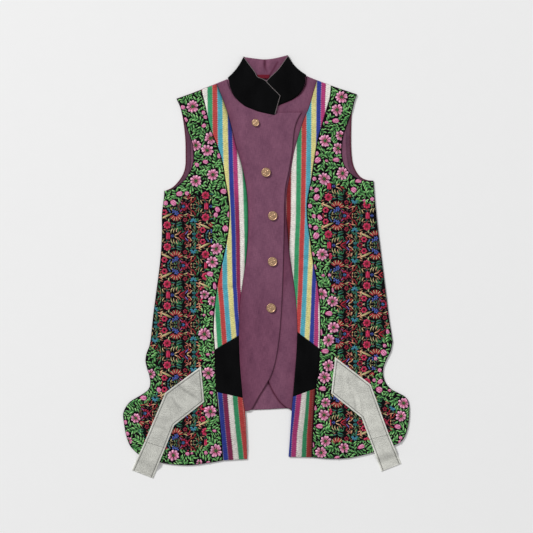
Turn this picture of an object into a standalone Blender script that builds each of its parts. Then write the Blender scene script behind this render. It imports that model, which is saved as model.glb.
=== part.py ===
"""A long sleeveless vest laid flat, front up, on a surface at z = 0.

Metres, with +Y towards the collar and +X towards the wearer's left. Every panel is a cloth wall
between two lines: a section runs across the cloth at each step along both lines, and the wall's
underside follows the soft swell of the layers under it.
"""
import math

import bmesh
import bpy
import numpy as np
from mathutils.geometry import tessellate_polygon

MM = 0.001
GAP = 0.3 * MM  # between pieces sewn or laid together
BACK_WALL = 1.5 * MM
FRONT_WALL = 1.6 * MM
COLLAR_WALL = 1.4 * MM
LINING_WALL = 1.0 * MM
TAB_WALL = 1.8 * MM
TAB_ON_FLOOR = 14 * MM  # length of a tab's end that lies on the surface
TAB_CLEARS_HEM = 34 * MM  # from its end, where a tab is up on its panel
TAB_SLACK = 0.2 * MM  # a tab's stiffness keeps it this much off the cloth's dips
SWELL = 1.0 * MM  # how far the front's cloth stands off the back away from its outline
RIPPLE = 0.5 * MM  # unevenness of that
LAP_RISE = FRONT_WALL + 0.8 * MM  # the top front over the under front
LAP_MARGIN = 4 * MM  # the top front is up to that height this far before the under front's edge
LAP_ENDS, LAP_FADES = -238 * MM, 38 * MM  # it sinks back to the back over this length, below the crossing
BACK_INSET = 1.0 * MM  # the back lies this far inside the front's side edges and hems
NOTCH_INSET = 2.5 * MM  # and this far behind the free edges of the lower stripes

LOOP_WALL = 1.0 * MM
LOOP_FROM, LOOP_LONG, LOOP_WIDE = (-19 * MM, 394.6 * MM), 26 * MM, 8 * MM

BUTTON_R = 9.6 * MM
TOP_BUTTON_R = 7.7 * MM
BUTTON_H = 3.4 * MM
SHANK_R = 2.6 * MM
SHANK_H = 1.0 * MM
BUTTON_SIDES = 24
BUTTONS = (  # across, along, radius
    (-22.5 * MM, 301.5 * MM, TOP_BUTTON_R),
    (-0.5 * MM, 197.5 * MM, BUTTON_R),
    (13.5 * MM, 106.5 * MM, BUTTON_R),
    (13.0 * MM, 10.5 * MM, BUTTON_R),
    (10.0 * MM, -86.5 * MM, BUTTON_R),
)

# Sections along each stretch of a side: shoulder to black panel, black panel, to the front's hem,
# to the side's hem.
STEPS = (28, 7, 3, 12)
ARMHOLE_STEPS = 13
NECK_STEPS = 7
SETTLE_STEPS = 3  # over which the swell fades at the shoulder and the hem
HEM_STEPS = 8
TAB_COLUMNS, STRIPE_COLUMNS, UNDER_COLUMNS, OVER_COLUMNS = 5, 6, 6, 8

# Lines of each side in millimetres. Columns: across, along.
RIGHT = {
    "armhole": (
        (-188.5, 352.5), (-181.5, 337), (-176, 320), (-166.5, 290.5), (-156, 258.5), (-153, 227.5),
        (-157, 207.5), (-164.5, 192), (-175.5, 178.5), (-197, 163), (-214, 159),
    ),
    "side": (
        (-214, 159), (-215, 143.5), (-219, 110), (-219, 73.5), (-221.5, 25.5), (-227, -23),
        (-236.5, -95), (-242.5, -150.5), (-245.5, -167.5),
    ),
    "flare": (
        (-245.5, -167.5), (-251.5, -182.5), (-253.5, -197.5), (-250.5, -212.5), (-245.5, -228.5),
        (-243.5, -245), (-247.5, -257.5), (-258.5, -266.5), (-272.5, -275), (-286, -283.5),
        (-296, -296.5), (-300.5, -310), (-299, -326), (-294.5, -352.5), (-286, -375.5), (-272.5, -390.5),
    ),
    "side_hem": (
        (-90.5, -406.5), (-122.5, -412), (-157, -416.5), (-191.5, -415.5), (-221, -411),
        (-250.5, -400.5), (-272.5, -390.5),
    ),
    "outer_seam": (
        ((-136.5, 371), (-130, 348), (-123, 317), (-115.5, 287), (-102, 253.5), (-91, 218),
         (-85, 180), (-79, 144.5), (-76.5, 110), (-80, 66.5), (-89.5, 18.5), (-101, -34),
         (-107.5, -82.5), (-110, -131.5), (-107.5, -174)),
        ((-107.5, -174), (-105.5, -229.5), (-103.5, -263)),
        ((-103.5, -263), (-101, -288.5)),
        ((-101, -288.5), (-98, -315.5), (-93.5, -358.5), (-90.5, -406.5)),
    ),
    "inner_seam": (
        ((-103.5, 383.5), (-89.5, 347.5), (-79.5, 318.5), (-72, 290.5), (-62.5, 251.5),
         (-51.5, 213.5), (-43.5, 177), (-39.5, 144.5), (-38, 110), (-38.5, 62.5), (-42, 16),
         (-49, -30), (-54.5, -72), (-57, -112), (-57.5, -144.5)),
        ((-57.5, -144.5), (-55.5, -202), (-49.5, -275)),
        ((-49.5, -275), (-44.5, -303)),
        ((-44.5, -303), (-42.5, -330.5), (-41, -366), (-40, -403.5)),
    ),
    "neck": (
        (-83, 393.5), (-77, 374), (-64.5, 352.5), (-44.5, 336), (-17.5, 325), (17.5, 317),
        (24, 322.5), (73, 323),
    ),
    "edge": (
        (73, 323), (64.5, 285), (58, 241), (50, 199), (42, 171.5), (38, 140), (37, 85.5),
        (35.5, 14), (33, -59.5), (29.5, -119.5), (26.5, -149.5), (22.5, -179), (16.5, -207.5),
        (8, -231.5), (-4, -252.5), (-16, -272), (-30, -297.5), (-38, -302.5),
    ),
    "back_armhole": (
        (-187, 352), (-181, 336), (-177, 320), (-173, 296.5), (-170, 266), (-169.5, 235),
        (-170, 212), (-175, 194), (-185, 178.5), (-197, 166.5), (-212.5, 159),
    ),
    "tab": (  # across and along of the outer edge, then of the inner edge, from the end up
        (-282, -427, -238, -444), (-254.5, -366, -211.5, -380), (-211.5, -264, -193, -332.5),
        (-137, -209, -130, -283),
    ),
}
LEFT = {
    "armhole": (
        (190.5, 361.5), (186, 350.5), (180.5, 328), (173.5, 308.5), (162, 276.5), (158.5, 251.5),
        (159, 231.5), (163, 215), (172.5, 201), (185, 189.5), (203, 181), (225, 180.5),
    ),
    "side": (
        (225, 180.5), (228.5, 134), (233.5, 85.5), (239.5, 37.5), (245.5, -10.5), (251.5, -59),
        (257.5, -107.5), (262.5, -140), (265, -157),
    ),
    "flare": (
        (265, -157), (261.5, -176), (254, -191.5), (247, -207.5), (245, -224.5), (250, -242.5),
        (262.5, -257), (278.5, -265.5), (292.5, -274), (299.5, -287.5), (300, -314.5),
        (296.5, -339), (290.5, -356.5), (282.5, -367.5), (269, -374.5),
    ),
    "side_hem": (
        (95.5, -400), (131.5, -403), (168.5, -402), (200.5, -396), (224.5, -389.5),
        (247, -382.5), (269, -374.5),
    ),
    "outer_seam": (
        ((136.5, 379.5), (133.5, 356), (127, 333.5), (118.5, 304.5), (107.5, 266), (100.5, 226),
         (93.5, 180), (85.5, 136), (86, 97.5), (91, 61.5), (97, 14), (106, -32), (111.5, -76),
         (112.5, -122.5), (111.5, -172)),
        ((111.5, -172), (108.5, -217), (103, -255.5)),
        ((103, -255.5), (101, -280)),
        ((101, -280), (99.5, -305), (97, -349), (95.5, -400)),
    ),
    "inner_seam": (
        ((106.5, 391), (100.5, 371), (89.5, 333.5), (79, 309), (70.5, 283.5), (59, 243),
         (52, 201), (45.5, 163), (43.5, 123.5), (44.5, 77), (49, 24.5), (56.5, -23.5),
         (61.5, -63.5), (64.5, -103.5), (65.5, -137.5)),
        ((65.5, -137.5), (63, -189.5), (56, -272.5)),
        ((56, -272.5), (53.5, -298)),
        ((53.5, -298), (51.5, -326), (49, -364), (46.5, -399)),
    ),
    "neck": (
        (85, 400), (82, 381.5), (71, 362.5), (54, 349.5), (26, 338), (4.5, 331), (-15.5, 328),
        (-35.5, 326),
    ),
    "edge": (
        (-35.5, 326), (-36.5, 285), (-34.5, 241), (-31.5, 199), (-29, 171.5), (-27, 140),
        (-26.5, 85.5), (-25, 14), (-21.5, -59.5), (-18.5, -119.5), (-15.5, -149.5), (-10.5, -179),
        (-3.5, -210.5), (5.5, -242), (16.5, -264.5), (29, -283), (41, -294), (47, -297.5),
    ),
    "back_armhole": (
        (189.5, 360.5), (185.5, 349.5), (181.5, 334.5), (179, 315), (178, 287.5), (178, 255.5),
        (179.5, 231.5), (182.5, 214), (189, 199.5), (198.5, 188), (211, 182), (223.5, 180.5),
    ),
    "tab": (
        (283, -413, 241.5, -429.5), (257, -351.5, 216.5, -362), (219, -247, 199.5, -316.5),
        (144.5, -189.5, 136, -265.5),
    ),
}
BACK_NECK = ((-84, 392.8), (-42.5, 396.3), (-0.5, 396.5), (41.5, 398.9), (86, 399))
BACK_HEM = ((-44, -303.5), (-36, -301), (1.5, -299.5), (40, -297.5), (50.5, -299))

# Sections of the collar band. Columns: base across, along, up; top across, along, up.
COLLAR_RIGHT = (
    (17.5, 317.8, 6.9, 29, 358, 7.7),
    (1, 321.5, 6.9, 20, 367, 8.0),
    (-17, 325.6, 6.9, 8, 379, 8.0),
    (-31, 331.0, 6.9, -4, 391, 7.8),
    (-44, 336.8, 6.9, -18.5, 397.5, 7.5),
    (-64, 353.4, 6.9, -24.5, 408, 7.2),
    (-75.5, 374.5, 6.9, -36, 423, 7.0),
    (-78.5, 391.5, 7.0, -45.5, 436.5, 7.0),
)
COLLAR_BACK = (
    (-77.5, 396.2, 0.7, -44.5, 439.5, 0.7),
    (-42, 397.6, 0.7, -17, 435.8, 0.7),
    (-0.5, 397.6, 0.7, -2, 434.9, 0.7),
    (41.5, 400.2, 0.7, 17, 437, 0.7),
    (80, 402.6, 0.7, 41.5, 442.8, 0.7),
)
COLLAR_LEFT = (
    (81.5, 397.6, 6.9, 43.5, 439, 6.9),
    (80.2, 381.8, 6.8, 35.5, 427, 6.9),
    (70, 363.2, 6.2, 25, 413, 6.7),
    (53.5, 350.3, 5.2, 8, 396.5, 6.2),
    (26, 338.8, 4.4, -3, 385, 5.9),
    (6, 332.4, 4.3, -14, 373, 5.6),
    (-15, 329.2, 4.3, -20, 364, 5.4),
)
LINING_FROM, LINING_TO = 9, 24  # rows of the band that the lining follows
COLLAR_TURN = 4  # steps of each side's turn
RIGHT_TURN, LEFT_TURN = (-0.82, 0.57), (0.86, 0.5)  # which way each turn bulges
COLLAR_STEPS = (9, 6, 8)  # of the right front part, the back and the left front part
COLLAR_COLUMNS = 6

CLOTHS = {  # base colour, roughness
    "purple_weave": ((0.175, 0.072, 0.125), 0.85),
    "black_ponte": ((0.012, 0.012, 0.014), 0.9),
    "striped_weave": ((0.30, 0.10, 0.16), 0.7),
    "flower_embroidery": ((0.06, 0.02, 0.03), 0.75),
    "grey_suede": ((0.50, 0.50, 0.49), 0.8),
    "red_tape": ((0.16, 0.02, 0.03), 0.8),
    "brass": ((0.55, 0.38, 0.19), 0.42),
}


def smooth(t):
    """A rise from 0 to 1 with level ends."""
    t = np.clip(t, 0, 1)
    return t * t * (3 - 2 * t)


def curve(rows, steps):
    """Points evenly spaced along a smooth curve through a table's rows."""
    p = np.array(rows, float)
    if len(p) == 2:
        return p[0] + (p[1] - p[0]) * np.linspace(0, 1, steps + 1)[:, None]
    q = np.concatenate((2 * p[:1] - p[1:2], p, 2 * p[-1:] - p[-2:-1]))
    fine = []
    for a, b, c, d in zip(q[:-3], q[1:-2], q[2:-1], q[3:]):
        t = np.linspace(0, 1, 17)[:-1, None]
        fine.append(0.5 * (2 * b + (c - a) * t + (2 * a - 5 * b + 4 * c - d) * t**2
                           + (3 * b - a - 3 * c + d) * t**3))
    fine = np.concatenate(fine + [p[-1:]])
    far = np.concatenate(([0], np.cumsum(np.linalg.norm(np.diff(fine, axis=0), axis=1))))
    at = np.linspace(0, far[-1], steps + 1)
    return np.stack([np.interp(at, far, fine[:, k]) for k in range(p.shape[1])], axis=1)


def chain(*curves):
    """Curves joined end to end, without the repeated points."""
    return np.concatenate([c if i == 0 else c[1:] for i, c in enumerate(curves)])


def seam(stretches):
    return MM * chain(*(curve(rows, n) for rows, n in zip(stretches, STEPS)))


def across(a, b, shares, inset=(GAP / 2, GAP / 2)):
    """Sections from line a to line b, kept half a gap inside each, with a column at each share."""
    run = b - a
    long = np.maximum(np.linalg.norm(run, axis=1, keepdims=True), 1e-9)
    along = np.gradient(a, axis=0), np.gradient(b, axis=0)
    lean = [
        np.maximum(0.35, np.abs(run[:, :1] * g[:, 1:] - run[:, 1:] * g[:, :1])
                   / long / np.maximum(np.linalg.norm(g, axis=1, keepdims=True), 1e-9))
        for g in along
    ]
    start, end = a + run / long * inset[0] / lean[0], b - run / long * inset[1] / lean[1]
    s = np.asarray(shares)[None, :, None]
    return start[:, None] * (1 - s) + end[:, None] * s


def bent(grid, last_row):
    """A grid whose last row is moved onto a curved hem, with the rows above sharing the move."""
    share = np.linspace(0, 1, len(grid))[:, None, None] ** 2
    return grid + (last_row - grid[-1])[None] * share


def swell(grid):
    """How far the cloth stands off the back at each point, in even soft rises."""
    x, y = grid[..., 0], grid[..., 1]
    return SWELL + RIPPLE * np.sin(x / (31 * MM) + 0.6) * np.sin(y / (52 * MM) + x / (90 * MM))


def settled(first, rows):
    """A share for each row that falls to 0 at the shoulder and at the hem."""
    i = np.arange(rows) + first
    return smooth(np.minimum(i, sum(STEPS) - i) / SETTLE_STEPS)[:, None]


def solid(name, bottom, top, cloth, wrap=False):
    """A closed cloth wall between two grids of points, which may close on itself round its rows."""
    rows, cols = bottom.shape[:2]
    points = np.concatenate((bottom.reshape(-1, 3), top.reshape(-1, 3)))
    low = np.arange(rows * cols).reshape(rows, cols)
    high = low + rows * cols
    faces = []
    for i in range(rows if wrap else rows - 1):
        j = (i + 1) % rows
        for k in range(cols - 1):
            faces.append((low[i, k], low[i, k + 1], low[j, k + 1], low[j, k]))
            faces.append((high[i, k], high[j, k], high[j, k + 1], high[i, k + 1]))
        faces.append((low[i, 0], low[j, 0], high[j, 0], high[i, 0]))
        faces.append((low[i, -1], high[i, -1], high[j, -1], low[j, -1]))
    if not wrap:
        for k in range(cols - 1):
            faces.append((low[0, k], high[0, k], high[0, k + 1], low[0, k + 1]))
            faces.append((low[-1, k], low[-1, k + 1], high[-1, k + 1], high[-1, k]))
    return body(name, points, faces, cloth)


def body(name, points, faces, cloth):
    """A closed mesh object with its faces turned outwards and its own material."""
    mesh = bpy.data.meshes.new(name)
    mesh.from_pydata([tuple(p) for p in points], [], [tuple(int(i) for i in f) for f in faces])
    made = bmesh.new()
    made.from_mesh(mesh)
    bmesh.ops.recalc_face_normals(made, faces=made.faces)
    bmesh.ops.triangulate(made, faces=made.faces)
    if made.calc_volume(signed=True) < 0:
        bmesh.ops.reverse_faces(made, faces=made.faces)
    made.to_mesh(mesh)
    made.free()
    for polygon in mesh.polygons:
        polygon.use_smooth = True
    mesh.set_sharp_from_angle(angle=math.radians(40))
    colour, rough = CLOTHS[cloth]
    look = bpy.data.materials.new(name)
    look.use_nodes = True
    shader = look.node_tree.nodes["Principled BSDF"]
    shader.inputs["Base Color"].default_value = (*colour, 1)
    shader.inputs["Roughness"].default_value = rough
    shader.inputs["Metallic"].default_value = 1.0 if cloth == "brass" else 0.0
    mesh.materials.append(look)
    thing = bpy.data.objects.new(name, mesh)
    bpy.context.scene.collection.objects.link(thing)
    return thing


def raised(grid, up):
    return np.concatenate((grid, np.broadcast_to(up, grid.shape[:2])[..., None]), axis=2)


def panel(name, grid, height, cloth, wall=FRONT_WALL):
    """A cloth wall over a grid of plan points; height is its underside."""
    solid(name, raised(grid, height), raised(grid, height + wall), cloth)


def front_height(grid, first=0, ease=1.0):
    """Underside of a front piece: on the back, and standing off it by the swell."""
    return BACK_WALL + GAP + swell(grid) * settled(first, len(grid)) * ease


def side_pieces(side, lines):
    """The striped, black and embroidered pieces of one side, and its tab. Returns its seams."""
    outer, inner = seam(lines["outer_seam"]), seam(lines["inner_seam"])
    a, b = STEPS[0], STEPS[0] + STEPS[1]
    trim = GAP / 2
    for name, cloth, start, stop in (
        ("stripes_upper", "striped_weave", 0, a),
        ("black_panel", "black_ponte", a, b),
        ("stripes_lower", "striped_weave", b, len(outer) - 1),
    ):
        grid = across(outer[start : stop + 1], inner[start : stop + 1], np.linspace(0, 1, STRIPE_COLUMNS))
        if start:
            step = grid[1] - grid[0]
            grid[0] += step / np.linalg.norm(step, axis=1, keepdims=True) * trim
        if stop < len(outer) - 1:
            step = grid[-1] - grid[-2]
            grid[-1] -= step / np.linalg.norm(step, axis=1, keepdims=True) * trim
        panel(f"{side}_{name}", grid, front_height(grid, start), cloth)

    upper = STEPS[0] - ARMHOLE_STEPS
    flare = sum(STEPS[1:])
    rim = MM * chain(
        curve(lines["armhole"], ARMHOLE_STEPS), curve(lines["side"], upper), curve(lines["flare"], flare)
    )
    shares = np.linspace(0, 1, HEM_STEPS + 1)
    grid = across(outer, rim, shares, (GAP / 2, 0))
    hem = MM * curve(lines["side_hem"], HEM_STEPS)
    hem[0] = grid[-1, 0]
    grid = bent(grid, hem)
    ease = 1 - shares[None, :] ** 3
    panel(f"{side}_side_front", grid, front_height(grid, 0, ease), "flower_embroidery")
    return outer, inner, rim, hem


def tab(side, lines):
    """A strap that lies on the side front and droops over the hem to the surface."""
    rows = MM * np.array(lines["tab"], float)
    outer, inner = rows[:, :2], rows[:, 2:]
    far = np.concatenate(([0], np.cumsum(np.linalg.norm(np.diff((outer + inner) / 2, axis=0), axis=1))))
    droop = np.linspace(TAB_ON_FLOOR, TAB_CLEARS_HEM, 5)
    at = np.concatenate(([0], droop, np.linspace(far[1], far[2], 5), np.linspace(far[2], far[3], 5)[1:]))
    ends = [np.stack([np.interp(at, far, line[:, k]) for k in (0, 1)], axis=1) for line in (outer, inner)]
    grid = across(*ends, np.linspace(0, 1, TAB_COLUMNS), (0, 0))
    up = BACK_WALL + GAP + swell(grid) + TAB_SLACK + FRONT_WALL + GAP
    clear = smooth((at - TAB_ON_FLOOR) / (TAB_CLEARS_HEM - TAB_ON_FLOOR))[:, None]
    panel(f"{side}_tab", grid, up * clear, "grey_suede", TAB_WALL)


def centre_fronts(right, left):
    """The two purple fronts: the wearer's left lies on the back, the right laps over it."""
    last = sum(STEPS[:3]) + 1
    lines = {}
    for side, table, inner in (("right", RIGHT, right), ("left", LEFT, left)):
        neck = MM * np.array(table["neck"], float)
        edge = MM * curve(table["edge"], last - 1 - NECK_STEPS)
        lines[side] = inner[:last], chain(neck, edge)
    seam_line, edge = lines["left"]
    grid = across(seam_line, edge, np.linspace(0, 1, UNDER_COLUMNS), (GAP / 2, 0))
    panel("left_front", grid, front_height(grid), "purple_weave")

    under_edge = edge[NECK_STEPS:][::-1]
    seam_line, edge = lines["right"]
    grid = across(seam_line, edge, np.linspace(0, 1, OVER_COLUMNS + 1), (GAP / 2, 0))
    for i, row in enumerate(grid):
        start, stop = row[0].copy(), row[-1].copy()
        reach = np.interp(start[1], under_edge[:, 1], under_edge[:, 0]) - LAP_MARGIN
        share = np.clip((reach - start[0]) / (stop[0] - start[0]), 0.12, 0.8)
        at = np.concatenate(([0], np.linspace(share, 1, OVER_COLUMNS)))
        grid[i] = start + (stop - start) * at[:, None]
    lap = 1 - smooth((LAP_ENDS - grid[..., 1]) / LAP_FADES)
    lap[:, 0] = lap[0, :] = 0
    lap[1] /= 2
    panel("right_front", grid, front_height(grid) + LAP_RISE * lap, "purple_weave")


def side_outline(lines, rims, order):
    """One side of the back from shoulder to hem notch, and how much of the inset each point takes."""
    _, inner, rim, hem = rims
    shoulder = MM * np.array(lines["back_armhole"][:1])
    armhole = MM * curve(lines["back_armhole"], ARMHOLE_STEPS)[1:-1]
    notch = inner[sum(STEPS[:3]) + 1 :][::-1] - (order * NOTCH_INSET, 0)
    edges = np.concatenate((rim[ARMHOLE_STEPS:], hem[::-1][1:-1], hem[:1]))
    points = np.concatenate((shoulder, armhole, edges, notch))
    share = np.concatenate((np.zeros(len(armhole) + 1), np.ones(len(edges)), np.zeros(len(notch))))
    return points[::order], share[::order]


def back(right, left):
    """The back, flat on the surface, just inside the front's side edges and hems."""
    neck, hem = MM * curve(BACK_NECK, NECK_STEPS)[::-1], MM * curve(BACK_HEM, HEM_STEPS)
    down, down_share = side_outline(RIGHT, right, 1)
    up, up_share = side_outline(LEFT, left, -1)
    ring = np.concatenate((neck, down, hem, up))
    share = np.concatenate((np.zeros(len(neck)), down_share, np.zeros(len(hem)), up_share))
    run = np.roll(ring, -1, axis=0) - np.roll(ring, 1, axis=0)
    inward = np.stack((-run[:, 1], run[:, 0]), axis=1)
    inward /= np.maximum(np.linalg.norm(inward, axis=1, keepdims=True), MM * MM)
    ring = ring + inward * BACK_INSET * share[:, None]
    flat = [(x, y, 0.0) for x, y in ring]
    triangles = tessellate_polygon([flat])
    n = len(ring)
    points = flat + [(x, y, BACK_WALL) for x, y in ring]
    faces = [tuple(t) for t in triangles] + [tuple(i + n for i in t[::-1]) for t in triangles]
    faces += [(i, (i + 1) % n, (i + 1) % n + n, i + n) for i in range(n)]
    body("back", points, faces, "purple_weave")


def turn(low, high, outwards):
    """Rows round a half circle from one section to another that lies above or below it."""
    rows = []
    centre, reach = (low + high) / 2, abs(high[2] - low[2]) / 2
    for k in range(1, COLLAR_TURN):
        angle = math.pi * k / COLLAR_TURN - math.pi / 2
        row = centre + (high - centre) * math.sin(angle)
        out = np.zeros(6)
        out[[0, 1, 3, 4]] = np.array((*outwards, *outwards)) * reach * math.cos(angle)
        rows.append(row + out)
    return rows


def collar():
    """The band of the stand collar and its lining, through a table of sections."""
    right, behind, left = (MM * np.array(t, float) for t in (COLLAR_RIGHT, COLLAR_BACK, COLLAR_LEFT))
    right, behind, left = (curve(t, n) for t, n in zip((right, behind, left), COLLAR_STEPS))
    rows = list(right) + turn(behind[0], right[-1], RIGHT_TURN)[::-1]
    rows += list(behind) + turn(behind[-1], left[0], LEFT_TURN)
    rows = np.array(rows + list(left))
    s = np.linspace(0, 1, COLLAR_COLUMNS)[None, :, None]
    mid = rows[:, None, :3] * (1 - s) + rows[:, None, 3:] * s
    down, along = np.gradient(mid, axis=1), np.gradient(mid, axis=0)
    out = np.cross(along, down)
    out /= np.linalg.norm(out, axis=2, keepdims=True)
    if out[0, 2, 2] < 0:
        out = -out
    solid("collar", mid - out * COLLAR_WALL / 2, mid + out * COLLAR_WALL / 2, "black_ponte")
    inside = slice(LINING_FROM, LINING_TO)
    skin = mid[inside] - out[inside] * (COLLAR_WALL / 2 + GAP)
    solid("collar_lining", skin - out[inside] * LINING_WALL, skin, "purple_weave")


def button(name, x, y, radius, cloth_top):
    """A turned shank button with a raised rim and a low dome, standing on the cloth."""
    base = cloth_top + GAP
    disc = base + SHANK_H
    rings = (  # radius share, height above the disc's underside share
        (0.0, None), (SHANK_R / radius, None), (SHANK_R / radius, 0.0), (0.9, 0.0), (1.0, 0.2),
        (1.0, 0.62), (0.94, 0.8), (0.86, 0.78), (0.8, 0.6), (0.5, 0.82), (0.0, 1.0),
    )
    sides = BUTTON_SIDES
    points, faces, loops = [], [], []
    for share, height in rings:
        z = base if height is None else disc + height * (BUTTON_H - SHANK_H)
        if share == 0:
            loops.append([len(points)] * sides)
            points.append((x, y, z))
            continue
        loops.append(list(range(len(points), len(points) + sides)))
        points += [(x + share * radius * math.cos(2 * math.pi * k / sides),
                    y + share * radius * math.sin(2 * math.pi * k / sides), z) for k in range(sides)]
    for low, high in zip(loops, loops[1:]):
        for k in range(sides):
            j = (k + 1) % sides
            face = (low[k], low[j], high[j], high[k])
            faces.append(tuple(dict.fromkeys(face)))
    body(name, points, faces, "brass")


def main():
    for thing in list(bpy.data.objects):
        bpy.data.objects.remove(thing, do_unlink=True)
    rims = {}
    for side, lines in (("right", RIGHT), ("left", LEFT)):
        rims[side] = side_pieces(side, lines)
        tab(side, lines)
    centre_fronts(rims["right"][1], rims["left"][1])
    back(rims["right"], rims["left"])
    collar()
    x, y = LOOP_FROM
    loop = np.array([[(x + a * LOOP_LONG, y + b * LOOP_WIDE) for b in (0, 0.5, 1)]
                     for a in (0, 0.25, 0.5, 0.75, 1)])
    panel("hanging_loop", loop, np.array(COLLAR_WALL + LINING_WALL + 2 * GAP), "red_tape", LOOP_WALL)
    lapped = BACK_WALL + GAP + FRONT_WALL + LAP_RISE
    for i, (x, y, radius) in enumerate(BUTTONS):
        here = np.array([[[x, y]]])
        top = float(swell(here)[0, 0]) + lapped
        button(f"button_{i + 1}", x, y, radius, top)


main()
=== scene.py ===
"""Long panelled vest, laid flat: its cloth, embroidery, collar, tabs and buttons.

Everything stands on the CAD frame, in metres: +X to the wearer's left, +Y to the collar, +Z up from
the surface that the vest lies on.
"""
import math

import bpy
import numpy as np
from bpy.props import FloatProperty, FloatVectorProperty, IntProperty, PointerProperty
from bpy.types import Operator, Panel, PropertyGroup
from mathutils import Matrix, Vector


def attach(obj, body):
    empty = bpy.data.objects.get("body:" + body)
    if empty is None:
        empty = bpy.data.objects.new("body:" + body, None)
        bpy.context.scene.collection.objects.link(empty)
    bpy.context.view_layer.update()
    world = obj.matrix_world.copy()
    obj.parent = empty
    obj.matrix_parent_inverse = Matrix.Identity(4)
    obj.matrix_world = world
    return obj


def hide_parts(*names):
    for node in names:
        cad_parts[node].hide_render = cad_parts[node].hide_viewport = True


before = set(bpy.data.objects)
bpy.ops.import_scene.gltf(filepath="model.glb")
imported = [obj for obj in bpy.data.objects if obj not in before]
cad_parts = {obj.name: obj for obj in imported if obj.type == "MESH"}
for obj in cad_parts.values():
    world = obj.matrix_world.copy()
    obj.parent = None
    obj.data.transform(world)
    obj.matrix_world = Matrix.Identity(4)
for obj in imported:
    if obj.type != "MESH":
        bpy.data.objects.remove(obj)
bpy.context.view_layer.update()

bl_info = {
    "name": "Panelled vest",
    "version": (1, 0, 0),
    "blender": (4, 5, 0),
    "location": "3D View > Sidebar > Vest",
    "description": "Builds a long embroidered vest laid flat, piece by piece",
    "category": "Add Mesh",
}

BODY = "root"

MM = 0.001
SQUARE = 2.1 * MM  # one square of the working charts
CHART_MIDDLE = (266.3, 266.7)  # the square that lies over the frame's origin
CHART_WIDE = 533  # squares across the whole chart, which the camera takes in

GAP = 0.3 * MM
BACK_WALL, FRONT_WALL = 1.5 * MM, 1.6 * MM
COLLAR_WALL, LINING_WALL = 1.4 * MM, 1.0 * MM
FACING_WALL, BINDING_WALL = 0.24 * MM, 0.28 * MM  # what trims the armholes, on the back
TAB_WALL, TAB_SLACK = 1.8 * MM, 0.2 * MM
TAB_ROUND, TAB_DROP = 0.9 * MM, 0.5 * MM
TAB_ON_FLOOR, TAB_CLEARS_HEM = 14 * MM, 34 * MM  # from a tab's end up
SWELL, RIPPLE = 1.0 * MM, 0.5 * MM
LAP_RISE = FRONT_WALL + 0.8 * MM
LAP_ENDS, LAP_FADES = -238 * MM, 38 * MM
HEM_OPENS = -225 * MM  # below it the back shows between the fronts, in their shade
BACK_INSET, NOTCH_INSET = 1.0 * MM, 2.5 * MM

STEPS = (28, 7, 3, 12)  # the CAD's sections: upper stripes, black panel, to the front's hem, to the side's
ARMHOLE_STEPS, SETTLE_STEPS, NECK_STEPS = 13, 3, 7
ROWS = sum(STEPS)
FINE = 6  # sections of the cloth for each one of the CAD's
FRONT_HEM = sum(STEPS[:3]) * FINE  # the section at which the centre fronts end
HEM_STEPS = 60
BACK_SIDE, BACK_MIDDLE = 22, 40  # columns of the back beside its neck and under it
SIDE_COLUMNS, FRONT_COLUMNS, PANEL_COLUMNS, TAB_COLUMNS = 58, 46, 18, 26
EDGE = np.array((0, 0.45, 1.1, 2.2)) * MM  # columns and rows that round a cloth's edge
ROUND = 2.1 * MM  # how far in from the edge a cloth turns down
TURN_DOWN = 1.1 * MM
SUNK = 0.06 * MM  # how far stitches go into their cloth
PRESSED = 0.35 * MM  # how far the tabs' stitching presses them in
SPRIG_STEP, LEAF_STEP = 22 * MM, 4.6 * MM  # steps of the nets that the border's green is set on
SEEDS = {"right": 11, "left": 23, "repeat": 5}
ALIKE = (2.2, 2.2, 2.2)  # how fast red, green and blue fade in a shade
RED_SHADE = (1.7, 3.0, 2.4)  # the same where purple cloth shades purple cloth

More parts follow.
